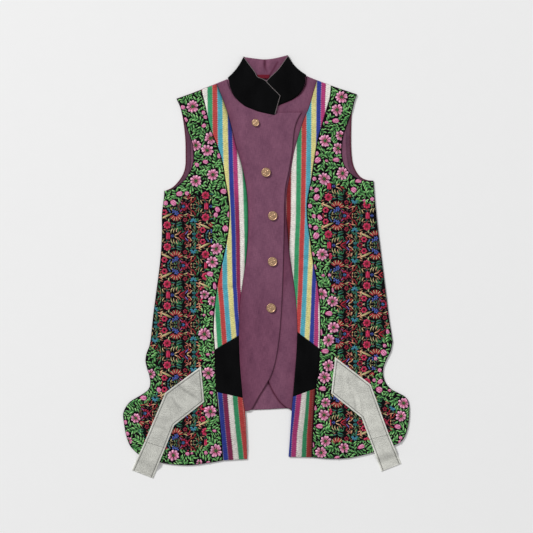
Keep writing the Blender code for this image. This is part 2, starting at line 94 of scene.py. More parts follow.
# Lines of each side, in millimetres across and along.
RIGHT = {
    "armhole": (
        (-188.5, 352.5), (-181.5, 337), (-176, 320), (-166.5, 290.5), (-156, 258.5), (-153, 227.5),
        (-157, 207.5), (-164.5, 192), (-175.5, 178.5), (-197, 163), (-214, 159),
    ),
    "side": (
        (-214, 159), (-215, 143.5), (-219, 110), (-219, 73.5), (-221.5, 25.5), (-227, -23), (-236.5, -95),
        (-242.5, -150.5), (-245.5, -167.5),
    ),
    "flare": (
        (-245.5, -167.5), (-251.5, -182.5), (-253.5, -197.5), (-250.5, -212.5), (-245.5, -228.5),
        (-243.5, -245), (-247.5, -257.5), (-258.5, -266.5), (-272.5, -275), (-286, -283.5),
        (-296, -296.5), (-300.5, -310), (-299, -326), (-294.5, -352.5), (-286, -375.5), (-272.5, -390.5),
    ),
    "side_hem": (
        (-90.5, -406.5), (-122.5, -412), (-157, -416.5), (-191.5, -415.5), (-221, -411), (-250.5, -400.5),
        (-272.5, -390.5),
    ),
    "outer_seam": (
        ((-136.5, 371), (-130, 348), (-123, 317), (-115.5, 287), (-102, 253.5), (-91, 218),
         (-85, 180), (-79, 144.5), (-76.5, 110), (-80, 66.5), (-89.5, 18.5), (-101, -34),
         (-107.5, -82.5), (-110, -131.5), (-107.5, -174)),
        ((-107.5, -174), (-105.5, -229.5), (-103.5, -263)),
        ((-103.5, -263), (-101, -288.5)),
        ((-101, -288.5), (-98, -315.5), (-93.5, -358.5), (-90.5, -406.5)),
    ),
    "inner_seam": (
        ((-103.5, 383.5), (-89.5, 347.5), (-79.5, 318.5), (-72, 290.5), (-62.5, 251.5),
         (-51.5, 213.5), (-43.5, 177), (-39.5, 144.5), (-38, 110), (-38.5, 62.5), (-42, 16),
         (-49, -30), (-54.5, -72), (-57, -112), (-57.5, -144.5)),
        ((-57.5, -144.5), (-55.5, -202), (-49.5, -275)),
        ((-49.5, -275), (-44.5, -303)),
        ((-44.5, -303), (-42.5, -330.5), (-41, -366), (-40, -403.5)),
    ),
    "neck": (
        (-83, 393.5), (-77, 374), (-64.5, 352.5), (-44.5, 336), (-17.5, 325), (17.5, 317), (24, 322.5),
        (73, 323),
    ),
    "edge": (
        (73, 323), (65, 308), (58.2, 285), (53.8, 241), (46.8, 199), (41, 171.5), (38, 140), (37, 85.5),
        (35.5, 14), (33, -59.5), (29.5, -119.5), (26.5, -149.5), (22.5, -179), (16.5, -207.5),
        (8, -231.5), (-4, -252.5), (-16, -272), (-30, -297.5), (-38, -302.5),
    ),
    "back_armhole": (
        (-187, 352), (-181, 336), (-177, 320), (-173, 296.5), (-170, 266), (-169.5, 235), (-170, 212),
        (-175, 194), (-185, 178.5), (-197, 166.5), (-212.5, 159),
    ),
    "tab": (  # across and along of the outer edge, then of the inner edge, from the end up
        (-282, -427, -238, -444), (-254.5, -366, -211.5, -380), (-211.5, -264, -193, -332.5),
        (-137, -209, -130, -283),
    ),
}
LEFT = {
    "armhole": (
        (190.5, 361.5), (186, 350.5), (180.5, 328), (173.5, 308.5), (162, 276.5), (158.5, 251.5),
        (159, 231.5), (163, 215), (172.5, 201), (185, 189.5), (203, 181), (225, 180.5),
    ),
    "side": (
        (225, 180.5), (228.5, 134), (233.5, 85.5), (239.5, 37.5), (245.5, -10.5), (251.5, -59),
        (257.5, -107.5), (262.5, -140), (265, -157),
    ),
    "flare": (
        (265, -157), (261.5, -176), (254, -191.5), (247, -207.5), (245, -224.5), (250, -242.5),
        (262.5, -257), (278.5, -265.5), (292.5, -274), (299.5, -287.5), (300, -314.5), (296.5, -339),
        (290.5, -356.5), (282.5, -367.5), (269, -374.5),
    ),
    "side_hem": (
        (95.5, -400), (131.5, -403), (168.5, -402), (200.5, -396), (224.5, -389.5), (247, -382.5),
        (269, -374.5),
    ),
    "outer_seam": (
        ((136.5, 379.5), (133.5, 356), (127, 333.5), (118.5, 304.5), (107.5, 266), (100.5, 226),
         (93.5, 180), (85.5, 136), (86, 97.5), (91, 61.5), (97, 14), (106, -32), (111.5, -76),
         (112.5, -122.5), (111.5, -172)),
        ((111.5, -172), (108.5, -217), (103, -255.5)),
        ((103, -255.5), (101, -280)),
        ((101, -280), (99.5, -305), (97, -349), (95.5, -400)),
    ),
    "inner_seam": (
        ((106.5, 391), (100.5, 371), (89.5, 333.5), (79, 309), (70.5, 283.5), (59, 243),
         (51.6, 201), (44, 163), (41.4, 123.5), (44.2, 77), (49, 24.5), (56.5, -23.5),
         (61.5, -63.5), (64.5, -103.5), (65.5, -137.5)),
        ((65.5, -137.5), (63, -189.5), (56, -272.5)),
        ((56, -272.5), (53.5, -298)),
        ((53.5, -298), (51.5, -326), (49, -364), (46.5, -399)),
    ),
    "neck": (
        (85, 400), (82, 381.5), (71, 362.5), (54, 349.5), (26, 338), (4.5, 331), (-15.5, 328),
        (-35.5, 326),
    ),
    "edge": (
        (-35.5, 326), (-36.5, 285), (-34.5, 241), (-31.5, 199), (-29, 171.5), (-27, 140), (-26.5, 85.5),
        (-25, 14), (-21.5, -59.5), (-18.5, -119.5), (-15.5, -149.5), (-10.5, -179), (-3.5, -210.5),
        (5.5, -242), (16.5, -264.5), (29, -283), (41, -294), (47, -297.5),
    ),
    "back_armhole": (
        (189.5, 360.5), (185.5, 349.5), (181.5, 334.5), (179, 315), (178, 287.5), (178, 255.5),
        (179.5, 231.5), (182.5, 214), (189, 199.5), (198.5, 188), (211, 182), (223.5, 180.5),
    ),
    "tab": (
        (283, -413, 241.5, -429.5), (257, -351.5, 216.5, -362), (219, -247, 199.5, -316.5),
        (144.5, -189.5, 136, -265.5),
    ),
}
SIDES = {"right": RIGHT, "left": LEFT}
BACK_NECK = ((-84, 392.8), (-42.5, 396.3), (-0.5, 396.5), (41.5, 398.9), (86, 399))
BACK_HEM = ((-44, -303.5), (-36, -301), (1.5, -299.5), (40, -297.5), (50.5, -299))

# Sections of the collar band, in millimetres: base across, along, up; top across, along, up.
COLLAR_RIGHT = (
    (17.5, 317.8, 6.9, 29, 358, 7.7), (1, 321.5, 6.9, 20, 367, 8), (-17, 325.6, 6.9, 8, 379, 8),
    (-31, 331, 6.9, -4, 391, 7.8), (-44, 336.8, 6.9, -18.5, 397.5, 7.5),
    (-64, 353.4, 6.9, -24.5, 408, 7.2), (-75.5, 374.5, 6.9, -36, 423, 7),
    (-78.5, 391.5, 7, -45.5, 436.5, 7),
)
COLLAR_BACK = (
    (-77.5, 396.2, 0.7, -44.5, 439.5, 0.7), (-42, 397.6, 0.7, -17, 435.8, 0.7),
    (-0.5, 397.6, 0.7, -2, 434.9, 0.7), (41.5, 400.2, 0.7, 17, 437, 0.7),
    (80, 402.6, 0.7, 41.5, 442.8, 0.7),
)
COLLAR_LEFT = (
    (81.5, 397.6, 6.9, 43.5, 439, 6.9), (80.2, 381.8, 6.8, 35.5, 427, 6.9),
    (70, 363.2, 6.2, 25, 413, 6.7), (53.5, 350.3, 5.2, 8, 396.5, 6.2), (26, 338.8, 4.4, -3, 385, 5.9),
    (6, 332.4, 4.3, -14, 373, 5.6), (-15, 329.2, 4.3, -20, 364, 5.4),
)
COLLAR_STEPS, COLLAR_TURN, COLLAR_COLUMNS = (9, 6, 8), 4, 5
RIGHT_TURN, LEFT_TURN = (-0.82, 0.57), (0.86, 0.5)
COLLAR_HIGH = 43 * MM
COLLAR_SAGS = ((11, (2.6, -2)), (21, (-3.4, -2.8)))  # section of the band, then its way inwards there
LINING_FROM, LINING_TO = 9, 23  # sections of the CAD's band that the lining follows
LINING_CREASE = ((277.5, 62.5), (275, 67), (272.5, 71), (270, 75))  # a painted shade line along a crease of the lining, in chart squares
# The lining's soft ridges, in millimetres: across, height, reach to each side.
LINING_RIDGES = ((-3.4, 1.5, 8, 2.6), (9, 1.5, 3.6, 9), (-24, 0.9, 5, 5), (30, 0.9, 5, 5))
LOOP_FROM, LOOP_SIZE = (-19 * MM, 394.6 * MM), (26 * MM, 8 * MM)

BUTTONS = ((-22.5, 301.5, 7.7), (-0.5, 197.5, 9.6), (13.5, 106.5, 9.6), (13, 10.5, 9.6), (10, -86.5, 9.6))
BUTTON_H, SHANK_H = 3.4 * MM, 1.0 * MM
# A button's turned outline from the shank up and in to the middle: shares of its radius and of its
# height over the shank, where -1 is the shank's foot.
BUTTON_OUTLINE = (
    (0.27, -1), (0.27, 0), (0.86, 0), (0.95, 0.06), (1, 0.25), (1, 0.6), (0.975, 0.76), (0.93, 0.84),
    (0.88, 0.8), (0.845, 0.66), (0.8, 0.6), (0.7, 0.66), (0.6, 0.72), (0.5, 0.74), (0.4, 0.74),
    (0.3, 0.7), (0.22, 0.78), (0.14, 0.92), (0.07, 0.98),
)

# Soft folds of the laid cloth, in chart squares: from, to; then height (ridges up, troughs down) and
# half-width in millimetres.
FOLDS = (
    (345, 186, 345, 262, -0.8, 5), (345, 262, 344, 334, -0.8, 5), (352, 190, 354, 322, 2.2, 6),
    (338.5, 196, 338, 322, 1.8, 5), (216, 291, 238, 288, -0.8, 4), (217, 285.5, 238, 282.5, 1, 4),
    (293, 262, 313, 258, -0.8, 4), (294, 268, 313, 265, 0.9, 4), (175, 240, 170, 330, 1.2, 9),
    (184, 215, 180, 335, -0.7, 7), (250, 230, 246, 390, 0.8, 9), (262, 150, 258, 300, 0.6, 10),
    (288, 180, 292, 330, 0.8, 8), (300, 340, 298, 392, 0.6, 6), (232, 345, 230, 385, 0.6, 6),
    (226, 150, 233, 270, 0.7, 4), (309, 130, 306, 250, 0.7, 4), (231, 395, 236, 450, 0.7, 4),
    (303, 400, 298, 450, 0.7, 4), (200, 100, 196, 160, 0.7, 8), (332, 100, 330, 170, 0.7, 8),
    (284.5, 213, 285, 290, 1, 3.4), (290.4, 213, 292, 290, -1, 3.6), (268, 386, 287, 410, 1.6, 5),
)

TAB_FOLDS = {  # the same for the tabs; painted shade also darkens their troughs
    "right": (
        (177, 384, 198, 399, -1.2, 2.3), (184, 381, 203, 395, 1.8, 3), (176, 390, 192, 403, 1.7, 3.2),
        (191, 381.5, 200, 385.5, -0.8, 1.3), (171, 397, 183, 411, -0.8, 2.8),
        (164, 402, 172, 414, 1.2, 3), (152, 424, 168, 430, -0.6, 2.6), (160, 418, 172, 428, 1, 4),
        (150, 434, 158, 452, 1, 4),
    ),
    "left": (
        (346, 372, 349, 398, 1.3, 4), (353, 392, 356, 412, -0.7, 2.6), (358, 395, 362, 425, 1.3, 4),
        (366, 385, 372, 399, -0.5, 2), (340, 376, 352, 386, -0.5, 2),
    ),
}
# The row of stitches across each tab, near its end, in chart squares.
TAB_TURNS = {"right": ((145, 441), (165.4, 447.6)), "left": ((388.6, 434), (369.4, 439.2))}

COLOURS = {  # for each: its name, what it is the colour of, and its card
    "purple_dark": ("Purple, dark yarn", "Dark yarn of the purple cloth", (92, 54, 78)),
    "purple_light": ("Purple, pink yarn", "Light yarn of the purple cloth", (146, 96, 120)),
    "black": ("Black", "Knit of the collar and the black panels", (12, 12, 13)),
    "ground": ("Ground", "Cloth under the embroidery", (16, 13, 16)),
    "suede": ("Suede", "Tabs", (216, 216, 208)),
    "tape": ("Tape", "Hanging loop", (106, 20, 38)),
    "binding": ("Binding", "Bound edges of the armholes", (84, 32, 48)),
    "cord_grey": ("Grey cord", "Edge of the collar", (126, 118, 118)),
    "brass": ("Brass", "Buttons", (206, 168, 134)),
    "floor": ("Floor", "Surface that the vest lies on", (249, 249, 249)),
    "seam_grey": ("Grey thread", "Topstitching of the tabs", (58, 56, 54)),
    # the rust edge stripe is the magenta's far edge beside the purple, its colour a painted shade
    "stripe_rust": ("Rust stripe", "Edge stripe", (132, 40, 44)),
    "stripe_white": ("White stripe", "First stripe", (236, 231, 224)),
    "stripe_green": ("Green stripe", "Second stripe", (60, 152, 104)),
    "stripe_red": ("Red stripe", "Third stripe", (188, 70, 68)),
    "stripe_sky": ("Light blue stripe", "Fourth stripe", (82, 166, 184)),
    "stripe_yellow": ("Yellow stripe", "Fifth stripe", (218, 210, 138)),
    "stripe_royal": ("Royal blue stripe", "Sixth stripe", (48, 62, 148)),
    "stripe_magenta": ("Magenta stripe", "Seventh stripe", (176, 60, 118)),
    "stripe_wine": ("Wine stripe", "What the magenta turns to lower down", (134, 44, 84)),
}

THREADS = {  # red, green, blue as a dyer's card gives them, 0 to 255
    "pink": (226, 122, 172), "pink_light": (253, 186, 216), "pink_dark": (190, 72, 128),
    "leaf": (84, 182, 84), "leaf_light": (184, 240, 160), "leaf_dark": (26, 98, 42),
    "crimson": (170, 26, 60), "red": (182, 46, 46), "wine": (104, 16, 36), "blue": (90, 112, 192),
    "teal": (54, 128, 136), "teal_dark": (26, 82, 76), "olive": (140, 134, 80),
    "salmon": (224, 134, 114), "cream": (230, 210, 156), "moss": (72, 142, 98), "rose": (220, 66, 108),
    "sky": (70, 136, 172), "royal": (56, 66, 140), "violet": (146, 100, 180), "orange": (178, 84, 64),
    "brown": (108, 66, 54),
}

# The border's flowers in chart squares: across, down, radius.
FLOWERS = {
    "right": (
        (192.8, 106.8, 6.2), (210.8, 138.5, 6.3), (207.3, 150.7, 6), (196, 145.5, 5.6), (213, 174.8, 5.8),
        (196, 181, 6), (216.5, 249, 5.9), (212.5, 262, 5.8), (204.5, 334, 6.2), (204.5, 294.5, 4.6),
        (212.6, 301, 4.8), (136, 418, 4.8), (208.5, 373, 6), (210.5, 411.3, 6.3), (216, 450.5, 6.4),
        (173.5, 455, 5.8), (151, 374, 5), (128.5, 440.5, 4), (199.5, 462.5, 3.4),
    ),
    "left": (
        (341.5, 97.3, 6.2), (337, 110, 5.9), (325, 141, 6.2), (338, 148.5, 5.7), (340.5, 136, 5),
        (342.5, 173.5, 6.3), (324.3, 179, 6.2), (322.3, 254.3, 5.9), (321.5, 294, 5.7),
        (332.5, 301.5, 5.5), (333.5, 327.5, 5.8), (328.6, 340, 6), (328.5, 365.5, 5.8), (324.5, 377, 5.9),
        (325.5, 402.5, 4.6), (324, 414.8, 5.6), (325.5, 441, 5.4), (321, 452.5, 5.8), (403.5, 403, 5.6),
        (401, 416, 5.4), (344, 447.5, 5),
    ),
}
# Buds: across, down, length, width, lean in degrees.
BUDS = {
    "right": (
        (182.8, 107.6, 6, 4.4, 20), (203.7, 113, 5, 4, 70), (205.5, 117.5, 4.6, 4, 10),
        (204, 126, 5.6, 4.2, -30), (185.5, 120, 6, 4.6, 60), (205.5, 162, 6, 4.6, 10),
        (197, 164.8, 5.6, 4, 40), (219.5, 156, 6, 4.6, 80), (223.5, 191.5, 7, 5.6, 10),
        (179.5, 194, 7.6, 5.2, -10), (187, 193.5, 5, 4.4, 30), (173.5, 202.8, 7.4, 6, 40),
        (165.8, 203.2, 5.6, 5, 90), (217.5, 209.5, 6.6, 5, 60), (216, 215, 5.6, 4.6, 110),
        (229, 214.5, 7, 3.4, 90), (225.5, 228.5, 7, 6.4, 60), (210, 274, 8, 5.4, 10),
        (214.8, 286, 8, 3.6, 80), (211.8, 313, 5, 4.6, 20), (204.2, 315, 3.6, 2.6, 10),
        (208, 354.3, 4.4, 3, 0), (159, 389.5, 6, 4.6, 70), (143.5, 397.8, 7.6, 5.2, 5),
        (211.5, 392.6, 4, 3, 20), (214.5, 430.6, 4.6, 2.8, 10), (125.5, 422, 5, 4, 90),
        (127.5, 433.5, 5, 4, 60), (187.5, 453.5, 4.8, 4, 20), (192, 453, 3, 2.4, 0),
        (206, 452.5, 4.6, 3.6, 70), (208.5, 462.4, 5, 3, 0), (213.2, 352, 3, 2, 70),
    ),
    "left": (
        (335.5, 121, 7.6, 5, 0), (326.5, 122.6, 4.6, 3, 0), (316.5, 153.5, 5, 4.6, 60),
        (317.5, 160.5, 7.6, 6, -40), (336, 160, 7.6, 4.6, 0), (326.5, 161, 3.6, 2.6, 10),
        (311.5, 168, 5, 3, 60), (314.3, 179, 4.6, 4.4, 60), (358.5, 181, 8, 4.4, -12),
        (353.5, 190, 6.6, 6, 30), (310.5, 188.5, 4.4, 4, 0), (316.2, 190.3, 6.2, 4.4, -45),
        (316.6, 197.6, 7.6, 6, -60), (310, 206, 5, 4.4, 70), (313.8, 216.3, 4.8, 4.6, 0),
        (319.7, 217.5, 6.6, 4.6, 60), (315.6, 228, 6, 4.6, -20), (310, 226, 5, 3, 60),
        (316, 236, 7.8, 6.4, -60), (313, 254, 5, 3.4, 80), (315, 267, 6.6, 2.8, 80),
        (323, 275.4, 4, 2.8, 0), (329.3, 275, 4, 3.2, 80), (332.7, 290, 6, 2, 80),
        (328.8, 313.4, 8.4, 5, 0), (321, 332, 8, 2.8, 85), (325, 351, 8.2, 5.2, 0),
        (322.5, 388.5, 8, 4.8, 0), (319.5, 426, 8, 5, 0), (315.5, 408, 6, 2.4, 85),
        (313, 444.5, 6, 2.4, 85), (316.8, 369, 6, 1.8, 85), (372, 199.3, 4.6, 4.2, 20),
        (364, 200.5, 3.6, 2.4, 0), (387.5, 331.5, 6, 3.4, 75), (384.5, 345.5, 4.4, 3.8, 60),
        (383.5, 352.5, 7.4, 6.4, 50), (379.5, 370, 4.6, 4.2, 30), (374, 380, 4, 3.8, 0),
        (380, 381.5, 6.4, 4.6, -40), (379, 389.5, 7.4, 6.4, 30), (389.3, 390.3, 4, 2.8, 0),
        (397.5, 426.5, 7.4, 5, 10), (400.5, 437.5, 4.6, 3.6, 50), (399.5, 441.5, 3.6, 3, 0),
        (361, 446.5, 8.6, 4.4, -25), (337, 457.5, 6.4, 3.6, -10), (375.5, 358.5, 4.6, 3.6, 70),
    ),
}
FIELDS = {  # outline of the small-flowered field inside the border, in chart squares
    "right": (
        (140, 209), (176, 206), (186, 195), (212, 191), (213, 240), (208, 262), (205, 285), (202, 310),
        (199, 345), (202, 365), (203, 400), (206, 420), (207, 447), (190, 451), (150, 447), (142, 435),
        (139, 420), (141, 405), (150, 399), (160, 390), (162, 380), (157, 365), (156, 350), (140, 338),
    ),
    "left": (
        (322, 200), (327, 184), (340, 184), (349, 194), (358, 201), (368, 204), (400, 206), (400, 322),
        (386, 326), (382, 345), (377, 365), (371, 380), (374, 394), (389, 402), (396, 410), (394, 424),
        (388, 434), (372, 440), (345, 441), (333, 443), (330, 425), (329, 400), (334, 380), (335, 357),
        (335, 345), (338, 320), (336, 302), (329, 282), (329, 262), (326, 245), (322, 225),
    ),
}
# The field's repeat is a half drop. Its starting points, in chart squares, and its two steps.
REPEAT_FROM = {"right": (201.5, 236), "left": (362.5, 245.3)}
REPEAT_STEPS = ((-38.3, 29.6), (0, 59))
# One repeat, in squares from the middle of its three berries. What lies off its middle line is worked
# twice, the second time upside down. Rings and fans of strokes: across, down, inner radius, first and
# last lean in degrees, count, length, width, threads at the start and the end.
REPEAT_FANS = (
    (1.4, 5.8, 0.8, 0, 300, 6, 2.4, 2.7, "crimson rose"),
    (-2.6, 0, 0.8, 30, 318, 5, 2.3, 2.7, "wine crimson"),
    (20.4, 0, 1.8, -112, 112, 7, 2.9, 2.5, "crimson rose"), (20.2, 0, 0, 0, 288, 5, 1.9, 1.5, "blue sky"),
    (4.2, 18.6, 1, 0, 315, 8, 3.2, 2.8, "crimson rose"),
    (4.2, 18.6, 0, 0, 240, 3, 1.3, 1.2, "wine crimson"),
    (22.2, 13.4, 0.4, 20, 308, 5, 2, 2, "wine crimson"),
    (25.4, 8.6, 0.2, 0, 240, 3, 1.5, 1.5, "crimson rose"),
    (10.6, 4.8, 0, 0, 240, 3, 2.2, 1.8, "royal blue"),
    (13.5, 6.8, 0.1, 0, 288, 5, 2.5, 1.7, "royal blue"),
    (12.9, 7.4, 2, 12, 148, 6, 5.8, 1.3, "crimson red"),
    (12.9, 7.4, 2.6, 25, 135, 5, 5.2, 0.9, "salmon cream"),
    (30.4, 15, 0.4, 180, 360, 5, 3.6, 2.1, "sky teal"),
    (30.2, 16.2, 0.4, 20, 160, 4, 3, 1.4, "teal_dark moss"),
    (35, 17.6, 0.4, -30, 50, 3, 3.6, 1.2, "salmon cream"),
    (9.4, 29.5, 0, 0, 300, 6, 1.8, 1.3, "royal blue"),
    (31, 29.5, 0.2, 60, 120, 3, 3.6, 1.7, "teal_dark teal"),
    (-1.4, 29.5, 0, 0, 288, 5, 1.8, 1.3, "teal_dark teal"),
    (8.8, 0, 1, 60, 300, 6, 1.5, 1, "cream olive"), (22, 29.5, 0.2, 120, 240, 3, 3, 1.1, "wine crimson"),
    (16.2, 20.4, 0.2, 20, 200, 5, 3.2, 1.5, "leaf_dark moss"),
    (-4.6, 14.6, 0.3, 20, 160, 4, 3.2, 1.4, "leaf_dark moss"),
    (25.4, 21.6, 0.2, 200, 330, 4, 3, 1.1, "brown salmon"),
)
# Single strokes: across, down, lean in degrees, length, width, threads, bow.
REPEAT = (
    (3.6, 29.5, 90, 7.6, 2.1, "crimson rose", -0.7), (5, 29.5, 90, 9, 2, "rose crimson", 0),
    (6.4, 29.5, 90, 7.6, 2.1, "crimson rose", 0.7), (8.4, 2.8, 65, 3.6, 1.1, "cream olive", 0.5),
    (5.4, 2.6, 60, 4, 1.4, "teal_dark teal", 0.5), (5.2, 0, 0, 2.6, 1.6, "teal_dark teal", 0),
    (11.8, 1.8, 115, 3.4, 1.2, "olive moss", 0.4), (6.8, 4.4, 70, 4, 1.4, "teal_dark blue", 0.6),
    (3.2, 9.6, -24, 15, 2.4, "cream olive", 0), (17.6, 4.6, -52, 3.8, 1.4, "crimson violet", 0),
    (26.2, 2.2, 48, 6, 1.5, "crimson wine", 0.4), (29, 4.2, 30, 5.4, 1.4, "wine red", 0.6),
    (31.6, 6.8, 64, 6.4, 1.3, "wine red", 0.4), (28.4, 8.6, 12, 6.4, 1.2, "orange cream", 0.6),
    (22.4, 8, -20, 6, 1.2, "olive cream", 0.5), (27, 11.6, 66, 4.6, 1.4, "red wine", 0.2),
    (35.4, 20.6, 14, 5, 1.3, "salmon cream", 0.5), (27.4, 20.2, 80, 4.6, 1.3, "orange cream", 0.3),
    (23.4, 18.4, 30, 4.6, 1.2, "brown salmon", 0.5), (31.6, 21.6, 60, 5, 1.4, "olive moss", 0.5),
    (24.6, 16.6, 130, 4.4, 1.5, "leaf_dark moss", 0.5),
    (16.2, 16.6, 165, 6.6, 1.6, "teal_dark moss", 0.8),
    (16.6, 18.2, 165, 6.4, 1.3, "leaf_dark teal", -0.7), (13, 22.6, 40, 5.6, 1.5, "leaf_dark moss", 0.5),
    (10, 17, 15, 5.2, 1.4, "leaf_dark teal", 0.5), (-3.4, 21.4, 60, 6, 1.6, "leaf_dark moss", 0.6),
    (-5.8, 9.4, 100, 5.4, 1.6, "leaf_dark teal", 0.6), (-1.4, 15.2, 20, 4.4, 1.2, "salmon brown", 0.3),
    (8.8, 24.4, 112, 6.4, 1.2, "cream olive", 1.3), (11.4, 23.8, 112, 6.4, 1.1, "olive cream", 1.3),
    (14, 23.4, 112, 5.4, 1.1, "cream salmon", 1), (0.4, 25.2, 60, 5.4, 1.2, "cream olive", 1),
    (-2.2, 25.4, 70, 4.6, 1.2, "olive moss", 0.8), (13.6, 28, 158, 5.2, 1.3, "salmon cream", 0.3),
    (16.8, 26, 130, 5.4, 1.3, "wine salmon", 0.4), (18.2, 28.2, 142, 6, 1.5, "red crimson", 0),
    (20.8, 26.8, 138, 6.6, 1.3, "crimson wine", 0.2), (23.6, 26.2, 130, 5.4, 1.2, "blue violet", 0),
    (25.8, 28, 150, 5, 1.4, "orange cream", 0.4), (28, 26.2, 120, 4.6, 1.3, "cream orange", 0.5),
    (34.2, 26.4, 60, 5, 1.4, "leaf_dark moss", 0.5), (22.6, 22.8, 60, 4.6, 1.2, "red wine", 0.4),
    (9.2, 20.2, 95, 4.2, 1.3, "olive moss", 0.5),
)
# Threads of the small leaves and curls that fill what is left of the repeat.
FILLING = (
    "leaf_dark moss teal_dark teal_dark olive wine brown salmon moss crimson"
    " wine red teal_dark cream"
).split()

# Stripes: the warp from one edge of the striped cloth to the other, and for each panel the places in
# it of some stripe edges with where those run: down, then across for each edge, in chart squares.
STAYS_MAGENTA = 0.6  # added along the map of a panel whose magenta doesn't turn to wine
# the first, rust stripe stands for the magenta's edge, painted in shade
STRIPES = ("rust", "white", "green", "red", "sky", "yellow", "royal", "magenta", "white", "green", "red")
STRIPE_GUIDES = {
    "right_stripes_upper": ((3, 6, 9), (
        (84, 212.3, 227.3, 240.6), (109, 212.6, 227.6, 241), (137, 212.8, 228, 241.3),
        (166, 213.5, 228.7, 242.2), (187, 214.3, 229.4, 243), (209, 215.4, 230.5, 243.7),
        (237, 217, 231.6, 244.4), (266, 217.6, 232.1, 244.5), (287, 217.6, 232.6, 244.6),
        (292, 218.1, 233.2, 245.2), (309, 219.8, 234, 246), (330, 221.2, 235.9, 248),
        (350, 222.6, 237.4, 249.5),
    )),
    "left_stripes_upper": ((2, 4, 6, 8), (
        (76, 297, 306.6, 316.9, 326.5), (96, 297, 306.4, 316.4, 325.4), (118, 296.8, 306.4, 316.2, 325),
        (139, 296.6, 306.4, 316, 324.6), (161, 296.3, 306.1, 315.7, 324.4), (189, 296, 305.7, 315.2, 324),
        (218, 295.7, 305, 314.6, 323.4), (246, 294.4, 303.9, 314, 322.6),
        (268, 293.9, 303.2, 312.5, 321.4), (289, 293.2, 302.5, 311.4, 319.8),
        (311, 292, 301.3, 310.7, 318.2), (332, 290.6, 300.1, 309.6, 318.6), (350, 289.6, 299, 308.8, 318),
    )),
    "right_stripes_lower": ((7, 10), (
        (388, 222, 237), (394, 222.5, 237.5), (406, 223.6, 238.2), (428, 225.4, 240.4),
        (449, 227.5, 242.9), (461, 228.6, 244),
    )),
    "left_stripes_lower": ((7, 8, 9, 10), (
        (388, 297, 302.2, 307, 310), (398, 296.1, 301.4, 306.1, 309.4), (414, 294.6, 299.6, 305, 308.4),
        (435, 292.1, 297.1, 302.5, 306.8), (449, 291.4, 296.4, 301.8, 306.4),
        (461, 290.8, 295.8, 301.2, 306),
    )),
}


def smooth(t):
    """A rise from 0 to 1 with level ends: t squared times (3 - 2 t)."""
    t = np.clip(t, 0, 1)
    return t * t * (3 - 2 * t)


def fading(off, reach):
    """A share that falls from 1: e to the minus distance over reach, which is in millimetres."""
    return np.exp(-off / (reach * MM))


def bell(off, reach):
    """A share that falls from 1 both ways: e to the minus square of distance over reach."""
    return np.exp(-((off / (reach * MM)) ** 2))


def linear(card):
    """Light values of a 0 to 255 colour: the display curve undone."""
    c = np.asarray(card, float) / 255
    return np.where(c <= 0.04045, c / 12.92, ((c + 0.055) / 1.055) ** 2.4)


def charted(x, y):
    """Metres in the frame of a place on the charts, which count across and down."""
    return (np.asarray(x) - CHART_MIDDLE[0]) * SQUARE, (CHART_MIDDLE[1] - np.asarray(y)) * SQUARE


def charted_line(rows):
    """The same for the points of a line."""
    return np.column_stack(charted(*np.array(rows, float).T))


def from_ends(count):
    """How many steps each of a number of places is from the nearer end."""
    return np.minimum(np.arange(count), np.arange(count)[::-1])


def run_length(line):
    """How far along a polyline each of its points is."""
    return np.concatenate(([0], np.cumsum(np.linalg.norm(np.diff(line, axis=0), axis=1))))


def points_at(at, far, line):
    """Points of a polyline at some distances along it, read between its own points' distances."""
    return np.stack([np.interp(at, far, column) for column in line.T], axis=-1)


def evenly(line, shares):
    """Points at those shares of a polyline's plan length."""
    line = np.asarray(line, float)
    far = run_length(line[:, :2])
    return points_at(np.asarray(shares) * far[-1], far, line)


def curve(rows, steps):
    """Points evenly spaced along a Catmull-Rom curve through a table's rows."""
    p = np.array(rows, float)
    if len(p) == 2:
        return p[0] + (p[1] - p[0]) * np.linspace(0, 1, steps + 1)[:, None]
    q = np.concatenate((2 * p[:1] - p[1:2], p, 2 * p[-1:] - p[-2:-1]))
    t = np.linspace(0, 1, 17)[:-1, None, None]
    a, b, c, d = q[:-3], q[1:-2], q[2:-1], q[3:]
    fine = 0.5 * (2 * b + (c - a) * t + (2 * a - 5 * b + 4 * c - d) * t**2 + (3 * b - a - 3 * c + d) * t**3)
    fine = np.concatenate((fine.transpose(1, 0, 2).reshape(-1, p.shape[1]), p[-1:]))
    far = run_length(fine)
    return points_at(np.linspace(0, far[-1], steps + 1), far, fine)


def chain(*curves):
    """Curves joined end to end, without the repeated points."""
    return np.concatenate([c if i == 0 else c[1:] for i, c in enumerate(curves)])


def counted(line):
    """A plan line in metres, with the CAD's section count beside each point."""
    return np.column_stack((line, np.arange(len(line)) / FINE))


def seam(stretches):
    """A seam from the shoulder to the hem, counted in the CAD's sections."""
    return counted(MM * chain(*(curve(rows, n * FINE) for rows, n in zip(stretches, STEPS))))


def rim_line(lines):
    """The outer edge of a side: armhole, side and flare."""
    parts = (("armhole", ARMHOLE_STEPS), ("side", STEPS[0] - ARMHOLE_STEPS), ("flare", sum(STEPS[1:])))
    return counted(MM * chain(*(curve(lines[k], n * FINE) for k, n in parts)))


